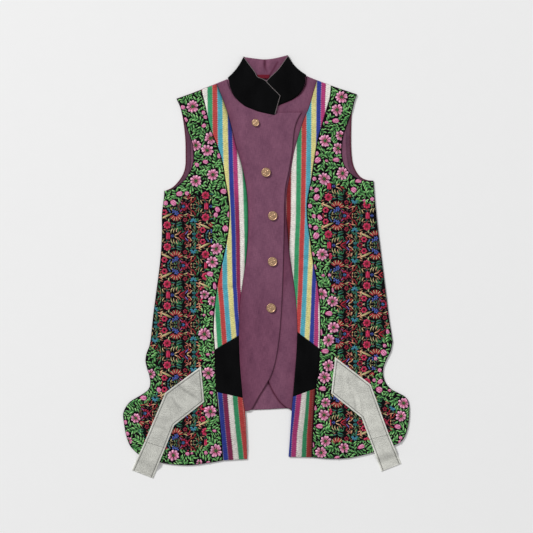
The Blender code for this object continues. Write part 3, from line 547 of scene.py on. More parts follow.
def across(a, b, columns, inset=(GAP / 2, GAP / 2)):
    """Straight sections between two counted lines, kept a little inside each, with columns close
    together at both edges. A point's values: across, along, count, share."""
    run = (b - a)[:, :2]
    long = np.maximum(np.linalg.norm(run, axis=1, keepdims=True), 1e-9)
    ends = []
    for line in (a, b):
        g = np.gradient(line[:, :2], axis=0)
        lean = np.abs(run[:, :1] * g[:, 1:] - run[:, 1:] * g[:, :1]) / long
        ends.append(np.maximum(0.35, lean / np.maximum(np.linalg.norm(g, axis=1, keepdims=True), 1e-9)))
    first, last = inset[0] / ends[0], long - inset[1] / ends[1]
    inner = np.linspace(0, 1, columns)[1:-1] * (last - first - 2 * EDGE[-1]) + first + EDGE[-1]
    at = np.concatenate((first + EDGE, inner, last - EDGE[::-1]), axis=1)
    s = (at / long)[..., None]
    grid = a[:, None] * (1 - s) + b[:, None] * s
    return np.concatenate((grid, ((at - first) / (last - first))[..., None]), axis=2)


def crisped(grid):
    """The grid with rows added near both ends, as far in as the edge columns."""
    step = np.linalg.norm(grid[1, :, :2] - grid[0, :, :2], axis=1).mean()
    top = [grid[0] + (grid[1] - grid[0]) * (d / step) for d in EDGE[1:] if d < step * 0.8]
    step = np.linalg.norm(grid[-1, :, :2] - grid[-2, :, :2], axis=1).mean()
    low = [grid[-1] + (grid[-2] - grid[-1]) * (d / step) for d in EDGE[:0:-1] if d < step * 0.8]
    return np.concatenate([grid[:1], top, grid[1:-1], low, grid[-1:]]) if top and low else grid


def finer(grid, times):
    """The grid with each of its steps along the rows cut into that many."""
    parts = [grid[:-1] + (grid[1:] - grid[:-1]) * t for t in np.arange(times) / times]
    return np.concatenate((np.stack(parts, axis=1).reshape(-1, *grid.shape[1:]), grid[-1:]))


def strip_grid(line, widths, inward):
    """A grid along a plan line with columns at those distances to one side of it."""
    run = np.gradient(line, axis=0)
    off = np.stack((-run[:, 1], run[:, 0]), axis=1) * inward
    off /= np.linalg.norm(off, axis=1, keepdims=True)
    return line[:, None] + off[:, None] * np.asarray(widths)[None, :, None]


def to_edge(grid):
    """Distance of each point from the nearest edge, measured along its row and its column."""
    far = []
    for axis in (0, 1):
        step = np.linalg.norm(np.diff(grid[..., :2], axis=axis), axis=2)
        zero = np.zeros_like(np.take(step, [0], axis=axis))
        run = np.concatenate((zero, np.cumsum(step, axis=axis)), axis=axis)
        far.append(np.minimum(run, np.take(run, [-1], axis=axis) - run))
    return np.minimum(*far)


def from_column(grid, column):
    """Straight distance of each point from its row's point in one column."""
    return np.linalg.norm(grid[..., :2] - grid[:, column, None, :2], axis=2)


def off_line(x, y, path):
    """Distance of each place from a plan line: the least over its straight parts."""
    path = np.asarray(path, float)[:, :2]
    least = np.full(np.shape(x), 1.0)
    for p, q in zip(path[:-1], path[1:]):
        d = q - p
        t = np.clip(((x - p[0]) * d[0] + (y - p[1]) * d[1]) / (d @ d), 0, 1)
        least = np.minimum(least, np.hypot(x - p[0] - t * d[0], y - p[1] - t * d[1]))
    return least


def swell(x, y):
    """How far the laid cloth stands off the back: even soft rises, a product of two sines."""
    return SWELL + RIPPLE * np.sin(x / (31 * MM) + 0.6) * np.sin(y / (52 * MM) + x / (90 * MM))


def folded(x, y, folds=FOLDS):
    """The charted folds: each a bell across its line that dies away towards both ends."""
    total = np.zeros(np.shape(x))
    for ax, ay, bx, by, height, wide in folds:
        (ax, bx), (ay, by) = charted((ax, bx), (ay, by))
        dx, dy = bx - ax, by - ay
        t = ((x - ax) * dx + (y - ay) * dy) / (dx * dx + dy * dy)
        off = ((x - ax) * dy - (y - ay) * dx) / math.hypot(dx, dy)
        wander = wide * MM * 0.35 * np.sin(t * 7 + ax * 90)
        ends = smooth((t + 0.12) / 0.4) * smooth((1.12 - t) / 0.4)
        total += height * MM * bell(off + wander, wide) * ends
    return total * bpy.context.scene.vest_sizes.fold_height


def underside(grid, ease=1.0):
    """Height of a front piece's underside: the back's wall, a gap, and the swell and folds, which
    settle to nothing at the shoulder and at the hem."""
    x, y, count = grid[..., 0], grid[..., 1], grid[..., 2]
    settled = smooth(np.minimum(count, ROWS - count) / SETTLE_STEPS)
    return BACK_WALL + GAP + (swell(x, y) + folded(x, y)) * settled * ease


def top_of(grid, low, wall, reach=ROUND, drop=TURN_DOWN):
    """A wall's upper side over the heights low. It turns down near its edges in a quarter round."""
    t = 1 - np.clip(to_edge(grid) / reach, 0, 1)
    return np.dstack((grid[..., :2], low + wall - drop * (1 - np.sqrt(1 - t * t))))


def grid_faces(rows, cols):
    """Quads of a grid of rows by columns, as an array."""
    i = np.arange(rows * cols).reshape(rows, cols)
    return np.stack((i[:-1, :-1], i[1:, :-1], i[1:, 1:], i[:-1, 1:]), axis=-1).reshape(-1, 4)


def facing_up(faces, points):
    """The quads, turned over if one of them faces down."""
    first, second, _, last = points[faces[len(faces) // 2], :2]
    return faces[:, ::-1] if np.cross(second - first, last - first) < 0 else faces


def thick(top, bottom, faces):
    """Points and faces of a closed wall: the top sheet, the bottom one turned over, and a strip
    along each edge that only one face has."""
    n = len(top)
    a, b = faces.ravel(), np.roll(faces, -1, axis=1).ravel()
    shared = np.isin(a * n + b, b * n + a)
    a, b = a[~shared], b[~shared]
    sides = np.stack((b, a, a + n, b + n), axis=1)
    return np.concatenate((top, bottom)), np.concatenate((faces, faces[:, ::-1] + n, sides))


def capped(rings, first, last):
    """Points and faces of a closed round form: quads between its rings of points, and a fan of
    triangles from each end ring to a point."""
    n, sides = rings.shape[:2]
    i = np.arange(n * sides).reshape(n, sides)
    j = np.roll(i, -1, axis=1)
    quads = np.stack((i[:-1], j[:-1], j[1:], i[1:]), axis=-1).reshape(-1, 4)
    fans = [np.stack((np.full(sides, n * sides + k), a, b), axis=1)
            for k, (a, b) in enumerate(((j[0], i[0]), (i[-1], j[-1])))]
    return np.concatenate((rings.reshape(-1, 3), (first, last))), [quads, np.concatenate(fans)]


def in_scene(name, data):
    """A new object that holds a mesh, a light or a camera."""
    thing = bpy.data.objects.new(name, data)
    bpy.context.scene.collection.objects.link(thing)
    return thing


def made_of(look):
    """The material that a look's function makes, made when it is first asked for."""
    return bpy.data.materials.get(look.__name__) or look(look.__name__)


def mesh_piece(name, points, faces, look, uv=None, tint=None):
    """A mesh object from whole arrays. faces is one array or a list of arrays of equal-sided faces;
    uv and tint, which the looks multiply their colour by, have one row for each point."""
    groups = faces if isinstance(faces, list) else [faces]
    sizes = np.concatenate([np.full(len(g), g.shape[1]) for g in groups])
    loops = np.concatenate([g.ravel() for g in groups]).astype(np.int32)
    mesh = bpy.data.meshes.new(name)
    mesh.vertices.add(len(points))
    mesh.vertices.foreach_set("co", np.ascontiguousarray(points, np.float32).ravel())
    mesh.loops.add(len(loops))
    mesh.loops.foreach_set("vertex_index", loops)
    mesh.polygons.add(len(sizes))
    mesh.polygons.foreach_set("loop_start", np.concatenate(([0], np.cumsum(sizes)[:-1])).astype(np.int32))
    mesh.polygons.foreach_set("use_smooth", np.ones(len(sizes), bool))
    mesh.update(calc_edges=True)
    if uv is not None:
        layer = mesh.uv_layers.new(name="laid")
        layer.data.foreach_set("uv", np.ascontiguousarray(uv[loops], np.float32).ravel())
    layer = mesh.color_attributes.new(name="tint", type="FLOAT_COLOR", domain="POINT")
    full = np.ones((len(points), 4), np.float32)
    if tint is not None:
        full[:, :3] = tint
    layer.data.foreach_set("color", full.ravel())
    mesh.validate()
    mesh.materials.append(made_of(look))
    piece = in_scene(name, mesh)
    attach(piece, BODY)
    return piece


def turned_outwards(piece):
    """Turns a closed piece's faces outwards if its signed volume, summed over its triangles' fans from
    the origin, is negative."""
    mesh = piece.data
    mesh.calc_loop_triangles()
    co = np.zeros(len(mesh.vertices) * 3, np.float32)
    mesh.vertices.foreach_get("co", co)
    tri = np.zeros(len(mesh.loop_triangles) * 3, np.int32)
    mesh.loop_triangles.foreach_get("vertices", tri)
    a, b, c = co.reshape(-1, 3)[tri.reshape(-1, 3)].transpose(1, 0, 2)
    if np.einsum("ij,ij->i", a, np.cross(b, c)).sum() < 0:
        mesh.flip_normals()


def darkened(dark, powers=ALIKE):
    """The tint of points darkened by those shares, on both sheets of a wall: the light left, raised
    to the powers of red, green and blue."""
    light = (1 - np.clip(dark, -0.1, 0.8)).reshape(-1, 1) ** np.array(powers)
    return np.concatenate((light, light))


def cloth_piece(name, grid, low, wall, look, uv=None, turn=(ROUND, TURN_DOWN), dark=0.0, powers=ALIKE):
    """A cloth wall on a plan grid, over the heights low, with its top's edges turned down. Its tint
    holds the painted shade dark.
    """
    top = top_of(grid, low, wall, *turn).reshape(-1, 3)
    bottom = np.dstack((grid[..., :2], low)).reshape(-1, 3)
    points, faces = thick(top, bottom, facing_up(grid_faces(*grid.shape[:2]), top))
    if uv is not None:
        uv = np.concatenate((uv.reshape(-1, 2), uv.reshape(-1, 2)))
    return mesh_piece(name, points, faces, look, uv, darkened(dark + 0 * low, powers))


def stands_for(node):
    """Hides the CAD node whose place a piece takes."""
    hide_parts(node)


class Lay:
    """Where a cloth's top lies: its heights and edge distances on an even net of small cells, read
    between cells by straight lines."""

    CELL = 0.8 * MM

    def __init__(self, top):
        grid = np.dstack((top, to_edge(top)))
        fine = finer(finer(grid, 6).swapaxes(0, 1), 6).reshape(-1, 4)
        self.start = fine[:, :2].min(0) - 3 * self.CELL
        cols, rows = ((fine[:, :2].max(0) - self.start) / self.CELL).astype(int) + 5
        at = ((fine[:, :2] - self.start) / self.CELL + 0.5).astype(int)
        index = at[:, 1] * cols + at[:, 0]
        count = np.bincount(index, minlength=cols * rows)
        sums = (np.bincount(index, fine[:, k], len(count)) for k in (2, 3))
        self.up, self.near = ((total / np.maximum(count, 1)).reshape(rows, cols) for total in sums)
        empty = (count == 0).reshape(rows, cols)
        self.near[empty] = -self.CELL
        ways = [(step, axis) for step in (1, -1) for axis in (0, 1)]
        for _ in range(4):  # heights spread outwards, a cell at a time
            held = [np.roll(~empty, *way) for way in ways]
            beside = sum(h * 1 for h in held)
            mean = sum(np.roll(self.up, *way) * h for way, h in zip(ways, held)) / np.maximum(beside, 1)
            fill = empty & (beside > 0)
            self.up[fill] = mean[fill]
            empty &= ~fill

    def read(self, x, y):
        """Height and distance from the edge at each place."""
        rows, cols = self.up.shape
        u = np.clip((x - self.start[0]) / self.CELL, 0, cols - 1.01)
        v = np.clip((y - self.start[1]) / self.CELL, 0, rows - 1.01)
        i, j = v.astype(int), u.astype(int)
        a, b = v - i, u - j
        return [(net[i, j] * (1 - b) + net[i, j + 1] * b) * (1 - a)
                + (net[i + 1, j] * (1 - b) + net[i + 1, j + 1] * b) * a for net in (self.up, self.near)]


class Level:
    """A lay of one height everywhere, without an edge."""

    def __init__(self, up):
        self.up = up

    def read(self, x, y):
        """Height and distance from the edge at each place."""
        return self.up + 0 * x, 1.0 + 0 * x


def satin_faces(along, wide):
    """Faces of one closed stitched shape: fans at its two tips, quads between, and its underside."""
    ring = 1 + np.arange((along - 2) * wide).reshape(along - 2, wide)
    last = 1 + (along - 2) * wide
    first = [(0, ring[0, k + 1], ring[0, k]) for k in range(wide - 1)]
    end = [(last, ring[-1, k], ring[-1, k + 1]) for k in range(wide - 1)]
    quads = np.stack((ring[:-1, :-1], ring[:-1, 1:], ring[1:, 1:], ring[1:, :-1]), axis=-1).reshape(-1, 4)
    under = np.concatenate(([0], ring[:, 0], [last], ring[::-1, -1]))
    return np.array(first + end), quads, under[None]


def satin(name, shapes, lay, along=6, wide=3, clear=1.2 * MM):
    """Satin-stitched shapes laid on a cloth, all at once, from rows of shape_rows(). A shape runs along
    its lean and may bow sideways. Its half-width is the sine of half a turn over the run raised to
    its skew, itself raised to its bluntness, and its top is a low dome. A point off the cloth is
    drawn back towards the shape's anchor until it is on it."""
    x, y, lean, long, broad, blunt, skew, bow, lift, ax, ay, slant = shapes[:, :12].T[:, :, None, None]
    start, end = shapes[:, None, None, 12:15], shapes[:, None, None, 15:18]
    u = np.linspace(0, 1, along)[None, :, None]
    v = np.linspace(-1, 1, wide)[None, None, :]
    swelling = np.sin(np.pi * u**skew)
    run = (u - 0.5) * long
    half = broad / 2 * swelling**blunt * v
    aside = half + bow * (0.5 - (2 * u - 1) ** 2)
    px = x + run * np.cos(lean) - aside * np.sin(lean)
    py = y + run * np.sin(lean) + aside * np.cos(lean)
    for share in np.linspace(0.08, 1, 14):
        off = lay.read(px, py)[1] < clear
        px = np.where(off, px + (ax - px) * share * 0.5, px)
        py = np.where(off, py + (ay - py) * share * 0.5, py)
    dome = np.sqrt(np.maximum(1 - v * v, 0)) * swelling**0.4
    pz = lay.read(px, py)[0] + lift * dome - SUNK
    points = np.stack(np.broadcast_arrays(px, py, pz), axis=-1)
    side = 1 + 0.34 * np.sign(slant) * v  # painted sheen: stitches slant two ways, so one half of a shape is painted lighter, as if it shone more
    shade = (start + (end - start) * smooth(u)[..., None]) * side[..., None] * np.ones_like(points)
    thread = np.stack(np.broadcast_arrays((half + slant * run) / MM, (run + 0 * half) / MM), axis=-1)
    count = len(shapes)

    def in_order(values):
        """Each shape's points in order: a tip, the rows between, the other tip."""
        middle = values[:, 1:-1].reshape(count, -1, values.shape[-1])
        tips = values[:, :1, wide // 2], values[:, -1:, wide // 2]
        return np.concatenate((tips[0], middle, tips[1]), axis=1).reshape(-1, values.shape[-1])

    each = 2 + (along - 2) * wide
    faces = [(f[None] + each * np.arange(count)[:, None, None]).reshape(-1, f.shape[1])
             for f in satin_faces(along, wide)]
    piece = mesh_piece(name, in_order(points), faces, satin_thread, in_order(thread), in_order(shade))
    return piece


def dyed(thread):
    """Light values of a thread by its name. Values given as such stay."""
    return linear(THREADS[thread]) if isinstance(thread, str) else thread


def shape_rows(x, y, lean, long, broad, start, end, blunt=0.65, skew=1.0, bow=0.0, lift=0.7 * MM,
               anchor=None, slant=0.3):
    """Rows for satin(), with single values spread over all of them: a shape's middle, lean, length
    and width, its threads at the start and the end, bluntness, skew, bow, height, anchor and the
    slant of its stitches. Sizes are in metres and the lean in radians."""
    ax, ay = (x, y) if anchor is None else anchor
    columns = np.broadcast_arrays(x, y, lean, long, broad, blunt, skew, bow, lift, ax, ay, slant)
    columns = [np.asarray(c, float).ravel() for c in columns]
    return np.column_stack(columns + [np.broadcast_to(dyed(c), (len(columns[0]), 3)) for c in (start, end)])


def stitch_line(name, line, lay, pitch, long, wide, colour):
    """A row of stitches along a plan line: each a short low capsule."""
    line = np.asarray(line, float)
    count = max(2, int(run_length(line)[-1] / pitch))
    at = (np.arange(count) + 0.5) / count
    p, q = evenly(line, at - 0.2 / count), evenly(line, at + 0.2 / count)
    middle, lean = (p + q) / 2, np.arctan2(*(q - p).T[::-1])
    rows = shape_rows(*middle.T, lean, long, wide, colour, colour, 0.4, lift=0.4 * MM)
    return satin(name, rows, lay, 5, 3, clear=-1)


class Finish:
    """A material in the making. Each method adds nodes and gives back what they put out; its inputs
    are values or what other nodes put out."""

    def __init__(self, name, roughness, specular=0.1, **sockets):
        self.material = bpy.data.materials.new(name)
        self.material.use_nodes = True
        self.shader = self.material.node_tree.nodes["Principled BSDF"]
        sockets.update({"Roughness": roughness, "Specular_IOR_Level": specular})
        for key, value in sockets.items():
            self.shader.inputs[key.replace("_", " ")].default_value = value

    def feed(self, socket, value):
        """Sets a socket, or links it."""
        if isinstance(value, bpy.types.NodeSocket):
            self.material.node_tree.links.new(value, socket)
        else:
            socket.default_value = value

    def node(self, kind, inputs=(), out=0, **settings):
        """Any shader node."""
        node = self.material.node_tree.nodes.new("ShaderNode" + kind)
        for key, value in settings.items():
            setattr(node, key, value)
        for key, value in dict(inputs).items():
            self.feed(node.inputs[key], value)
        return node.outputs[out]

    def work(self, operation, *values):
        """A sum worked out from values."""
        return self.node("Math", enumerate(values), operation=operation)

    def scaled(self, value, by, plus=0.0):
        """A value times another, plus a third."""
        return self.work("MULTIPLY_ADD", value, by, plus)

    def wave(self, value, pitch):
        """The sine of a value, with one turn for each pitch."""
        return self.work("SINE", self.scaled(value, 2 * math.pi / pitch))

    def parts(self, vector=None):
        """The first two parts of a vector: of the place on the object unless one is given."""
        vector = vector or self.node("TexCoord", out="Object")
        return self.node("SeparateXYZ", {"Vector": vector}).node.outputs[:2]

    def noise(self, scale, detail, rough=0.6, source=None, turn=0.0):
        """Noise with a number of cells a metre for each axis, on Object coordinates unless another
        source is given."""
        source = source or self.node("TexCoord", out="Object")
        mapped = self.node("Mapping", {"Vector": source, "Scale": scale, "Rotation": (0, 0, turn)})
        inputs = {"Vector": mapped, "Scale": 1.0, "Detail": detail, "Roughness": rough}
        return self.node("TexNoise", inputs, "Fac")

    def weave(self, wide, long):
        """Height of a plain weave: the product of two waves, one along each thread, in millimetres."""
        x, y = self.parts()
        return self.scaled(self.work("MULTIPLY", self.wave(x, wide * MM), self.wave(y, long * MM)), 0.5, 0.5)

    def ramp(self, fac, *stops, colour=(1, 1, 1)):
        """A colour ramp. A stop is a place, and a colour or a share of the colour given."""
        ramped = self.node("ValToRGB", {"Fac": fac}, "Color")
        band = ramped.node.color_ramp.elements
        for k, (place, light) in enumerate(stops):
            stop = band[k] if k < 2 else band.new(place)
            stop.position = place
            stop.color = (*(np.array(colour) * light if np.isscalar(light) else light), 1)
        return ramped

    def mixed(self, fac, a, b, blend="MIX"):
        """Two colours mixed."""
        return self.node("Mix", {0: fac, 6: a, 7: b}, 2, data_type="RGBA", blend_type=blend)

    def times(self, a, b):
        """Two colours, or a colour and a shade, multiplied."""
        return self.mixed(1.0, a, b, "MULTIPLY")

    def coloured(self, colour, tinted=True):
        """Gives the shader its colour, times the piece's own tint."""
        if tinted:
            colour = self.times(colour, self.node("VertexColor", layer_name="tint"))
        self.feed(self.shader.inputs["Base Color"], colour)

    def bumped(self, height, deep, strength):
        """Gives the shader its relief, its depth in millimetres. Returns the finished material."""
        relief = self.node("Bump", {"Height": height, "Distance": deep * MM, "Strength": strength})
        self.feed(self.shader.inputs["Normal"], relief)
        return self.material


def colours():
    """The colours that a user would change."""
    return bpy.context.scene.vest_colours


def purple_weave(name, shade=1.0):
    """Slubby cross-woven purple: long uneven threads of a dark and a pink yarn, both ways."""
    made = Finish(name, 0.85, Sheen_Weight=0.08, Sheen_Roughness=0.5)
    warp, weft = made.noise((900, 90, 1), 3), made.noise((110, 1000, 1), 3)
    yarn = made.scaled(made.noise((40, 22, 1), 4), 0.36, made.scaled(warp, 0.36, made.scaled(weft, 0.28)))
    dark, light = (shade * np.array(c) for c in (colours().purple_dark, colours().purple_light))
    made.coloured(made.ramp(yarn, (0.3, dark), (0.7, light)))
    return made.bumped(made.scaled(made.weave(0.9, 0.8), 0.4, yarn), 0.25, 0.6)


def purple_inside(name):
    """The purple cloth's other side, in shade: the same weave, painted darker."""
    return purple_weave(name, 0.62)


def black_knit(name):
    """Matt black knit with fine ribs and a little lint."""
    made = Finish(name, 0.95, 0.03)
    lint = made.noise((500, 500, 1), 4, 0.7)
    fac = made.scaled(lint, 0.6, made.scaled(made.noise((36, 20, 1), 3, 0.5), 0.4))
    made.coloured(made.ramp(fac, (0.35, 0.6), (0.7, 1.8), colour=colours().black), tinted=False)
    return made.bumped(made.scaled(made.weave(1.2, 0.9), 0.5, lint), 0.2, 0.5)


def embroidery_ground(name):
    """The embroidery's black twill ground."""
    made = Finish(name, 0.95, 0.03)
    lint = made.noise((1100, 700, 1), 3, turn=0.6)
    made.coloured(made.ramp(lint, (0.3, 0.7), (0.8, 1.9), colour=colours().ground), tinted=False)
    return made.bumped(made.scaled(made.weave(0.8, 0.8), 0.5, lint), 0.2, 0.6)


def striped_weave(name):
    """Woven stripes: the piece's map counts stripes across. Ribs of bright thread turn in a chevron
    on each stripe, and where two meet their glint is painted as pale dots, the yarn is uneven,
    magenta turns to wine down the length, and the cloth is a little darker lower down."""
    made = Finish(name, 0.6, Sheen_Weight=0.1, Sheen_Roughness=0.4)
    laid = made.node("UVMap", uv_map="laid")
    count, run = made.parts(laid)
    chevron = made.work("PINGPONG", count, 0.5)
    rib = made.wave(made.scaled(chevron, 5.0 * MM, run), 4.4 * MM)
    frayed = made.work("ADD", count, made.scaled(made.noise((0.8, 260, 1), 2, source=laid), 0.2, -0.1))
    place = made.work("DIVIDE", made.scaled(rib, 0.05, frayed), float(len(STRIPES)))
    rolls = []
    for seventh in ("magenta", "wine"):
        dyes = [getattr(colours(), "stripe_" + (seventh if s == "magenta" else s)) for s in STRIPES]
        rolls.append(made.ramp(place, *(((k + edge) / len(STRIPES), dye) for k, dye in enumerate(dyes)
                                        for edge in (0.08, 0.92))))
    along = made.work("ADD", run, 0.5)
    colour = made.mixed(made.ramp(along, (0.62, 1), (0.67, 0)), *rolls)
    # painted glint: pale dots where the ribs of two stripes meet
    meet = made.work("MAXIMUM", made.scaled(chevron, -7.0, 1.0), 0.0)
    glint = made.work("MULTIPLY", made.scaled(rib, 0.16, 0.16), meet)
    colour = made.mixed(glint, colour, (0.75, 0.76, 0.72, 1))
    # the cloth is a little darker lower down
    colour = made.times(colour, made.ramp(along, (0.2, 0.76), (0.34, 1)))
    yarn = made.noise((3, 200, 1), 4, 0.75, laid)
    shade = made.scaled(rib, 0.1, made.scaled(yarn, 1.5, -0.05))
    shade = made.scaled(made.noise((0.5, 34, 1), 3, source=laid), 0.6, shade)
    made.coloured(made.times(colour, made.work("MAXIMUM", shade, 0.3)))
    return made.bumped(made.scaled(rib, 0.4, yarn), 0.3, 0.7)


def satin_thread(name):
    """Satin stitch: each shape's own thread colour, with fine strands along the stitches."""
    made = Finish(name, 0.5, Sheen_Weight=0.3, Sheen_Roughness=0.35)
    laid = made.node("UVMap", uv_map="laid")
    strand = made.wave(made.parts(laid)[0], 0.55)
    uneven = made.noise((2.4, 0.35, 1), 3, source=laid)
    shade = made.scaled(strand, 0.10, made.scaled(uneven, 0.8, -0.5))
    made.coloured(made.work("MAXIMUM", made.scaled(made.noise((560, 560, 1), 2), 2.2, shade), 0.2))
    return made.bumped(made.scaled(strand, 0.5, uneven), 0.18, 0.7)


def silver_suede(name):
    """Silver-grey suede: a speckled grain, clouded nap and darker pores. The piece's map gives the
    distances from its cut edge, where it is paler, and from its stitching, where it is painted in shade."""
    made = Finish(name, 0.8, Sheen_Weight=0.15, Sheen_Roughness=0.5)
    grain = made.noise((460, 460, 1), 5, 0.75)
    fac = made.scaled(grain, 0.75, made.scaled(made.noise((40, 40, 1), 4), 0.25))
    colour = made.ramp(fac, (0.42, 0.66), (0.58, 1.16), colour=colours().suede)
    laid = made.node("UVMap", uv_map="laid")
    edge_off, stitch_off = (made.scaled(part, 100.0) for part in made.parts(laid))
    colour = made.times(colour, made.ramp(edge_off, (0.1, 1.22), (0.28, 1)))
    # painted shade of the pressed groove along the stitching
    made.coloured(made.times(colour, made.ramp(stitch_off, (0.03, 0.5), (0.16, 1))))
    place = made.node("TexCoord", out="Object")
    pores = made.node("TexVoronoi", {"Vector": place, "Scale": 520.0}, "Distance")
    return made.bumped(made.scaled(pores, 0.6, grain), 0.35, 0.7)


def red_tape(name, colour=None):
    """Dark red tape with fine cross ribs."""
    made = Finish(name, 0.7, Sheen_Weight=0.1)
    yarn = made.noise((2200, 300, 1), 2)
    made.coloured(made.ramp(yarn, (0.3, 0.6), (0.7, 1.5), colour=colour or colours().tape), tinted=False)
    return made.bumped(made.scaled(made.weave(0.7, 0.5), 0.5, yarn), 0.15, 0.8)


def plum_binding(name):
    """The armhole's binding: the same tape in plum."""
    return red_tape(name, colours().binding)


def aged_brass(name):
    """Aged brass: brown in its hollows, brighter where it is rubbed."""
    made = Finish(name, 0.42, Metallic=0.85)
    tarnish = made.noise((420, 420, 420), 4)
    made.coloured(made.ramp(tarnish, (0.32, 0.55), (0.7, 1.25), colour=colours().brass), tinted=False)
    return made.bumped(made.noise((1600, 1600, 1600), 3), 0.1, 0.5)


def pale_floor(name):
    """Plain pale floor with the faintest tooth."""
    made = Finish(name, 0.95)
    tooth = made.noise((30, 30, 30), 3, 0.5)
    made.coloured(made.ramp(tooth, (0.2, 0.992), (0.8, 1), colour=colours().floor), tinted=False)
    return made.material


def side_grid(side):
    """A side front's grid, from its long seam to the outer edge, its last rows drawn onto the hem."""
    lines = SIDES[side]
    grid = across(seam(lines["outer_seam"]), rim_line(lines), SIDE_COLUMNS, (GAP / 2, 0))
    hem = MM * curve(lines["side_hem"], HEM_STEPS)
    hem[0] = grid[-1, 0, :2]
    target = evenly(hem, grid[-1, :, 3])
    share = (grid[..., 2] / ROWS)[..., None] ** 2
    grid[..., :2] += (target - grid[-1, :, :2])[None] * share
    return crisped(grid)


def inside(x, y, ring):
    """True inside a charted ring: an odd number of its edges lie to the right of the place."""
    rx, ry = charted_line(ring).T
    odd = np.zeros(np.shape(x), bool)
    for ax, ay, bx, by in zip(rx, ry, np.roll(rx, -1), np.roll(ry, -1)):
        crossed = (ay > y) != (by > y)
        odd ^= crossed & (x < (bx - ax) * (y - ay) / (by - ay + 1e-12) + ax)
    return odd


def out_from(x, y, far, angle):
    """Places at a distance and an angle from one."""
    return x + far * np.cos(angle), y + far * np.sin(angle)


def flower_rows(flowers, rng):
    """For each flower a ring of petals, widest near their tips, each with a vein, and a dark heart
    with short pale rays. A petal's width is a share of the circle there."""
    rows = []
    for fx, fy, radius in flowers:
        x, y = charted(fx, fy)
        r = radius * SQUARE
        petals = 10 if radius > 6.1 else 9 if radius > 5.3 else 8
        turn = rng.uniform(0, 2 * math.pi)
        a = turn + np.arange(petals) * 2 * math.pi / petals + rng.normal(0, 0.07, petals)
        reach = r * (1.04 + rng.normal(0, 0.06, petals))
        long, wide = reach * 0.8, 2 * math.pi * r * 0.72 / petals * 1.04
        tone = rng.uniform(0.8, 1.15, petals)[:, None]
        slant = rng.choice((-0.3, 0.3), petals)
        b = turn + 0.4 + np.arange(7) * 2 * math.pi / 7
        rows += [
            shape_rows(*out_from(x, y, reach - long / 2, a), a, long, wide, dyed("pink_dark") * tone,
                       dyed("pink_light") * tone, 0.6, 1.6, 0, 0.8 * MM, (x, y), slant),
            shape_rows(*out_from(x, y, reach * 0.62, a), a, long * 0.5, wide * 0.2, "pink_dark", "pink",
                       0.7, 1.0, 0, 1.0 * MM, (x, y), 0),
            shape_rows(x, y, turn, r * 0.4, r * 0.36, "leaf_dark", "leaf_dark", 0.5, lift=0.8 * MM),
            shape_rows(*out_from(x, y, r * 0.3, b), b, r * 0.36, r * 0.075, "olive", "cream", 0.5,
                       lift=1.05 * MM),
        ]
    return np.concatenate(rows)


def bud_rows(buds):
    """For each bud petals laid over each other along its lean: a broad dark one, then paler ones."""
    x, y, long, wide, lean = np.array(buds, float).T
    x, y = charted(x, y)
    long, wide, lean = long * SQUARE, wide * SQUARE, -np.radians(lean)
    return np.concatenate([
        shape_rows(x - off * wide * np.sin(lean), y + off * wide * np.cos(lean), lean + turn, long * longer,
                   wide * wider, start, end, 0.6, 1.0, 0, up * MM, (x, y), 0)
        for turn, off, longer, wider, up, start, end in (
            (0, 0, 1.0, 1.0, 0.7, "pink_dark", "pink"),
            (0.16, 0.27, 0.8, 0.34, 0.95, "pink", "pink_light"),
            (-0.16, -0.27, 0.8, 0.34, 0.95, "pink", "pink_light"),
            (0, 0, 0.9, 0.26, 1.05, "pink_light", "pink"),
            (0, 0.14, 0.5, 0.1, 1.15, "pink_dark", "pink_dark"),
            (0, -0.14, 0.5, 0.1, 1.15, "pink_dark", "pink_dark"),
        )])


def jittered(box, step, rng):
    """Places on an even net, every other row set over by half a step, each moved a little."""
    (x0, y0), (x1, y1) = box
    gx, gy = np.meshgrid(np.arange(x0, x1, step), np.arange(y0, y1, step * 0.87))
    gx = gx + (np.arange(len(gx))[:, None] % 2) * step / 2
    return [(g + rng.uniform(-0.22, 0.22, g.shape) * step).ravel() for g in (gx, gy)]


def clear_of(x, y, lay, rings, from_edge, from_rings):
    """True that far inside the cloth's edge and that far from all flowers and buds."""
    free = lay.read(x, y)[1] > from_edge
    for rx, ry, r in rings:
        free &= np.hypot(x - rx, y - ry) > r + from_rings
    return free


def far_from(x, y, px, py, least, lump=600):
    """True for each place that is at least that far from all the others given."""
    found = [np.hypot(x[k:k + lump, None] - px, y[k:k + lump, None] - py).min(1) > least
             for k in range(0, len(x), lump)]
    return np.concatenate(found) if found else np.zeros(0, bool)


def spaced(x, y, least):
    """Which places to keep so that no two are closer than that: the first of each group."""
    close = np.hypot(x[:, None] - x[None], y[:, None] - y[None]) < least
    keep = np.ones(len(x), bool)
    for i in range(len(x)):
        if keep[i]:
            keep[i + 1:] &= ~close[i, i + 1:]
    return keep


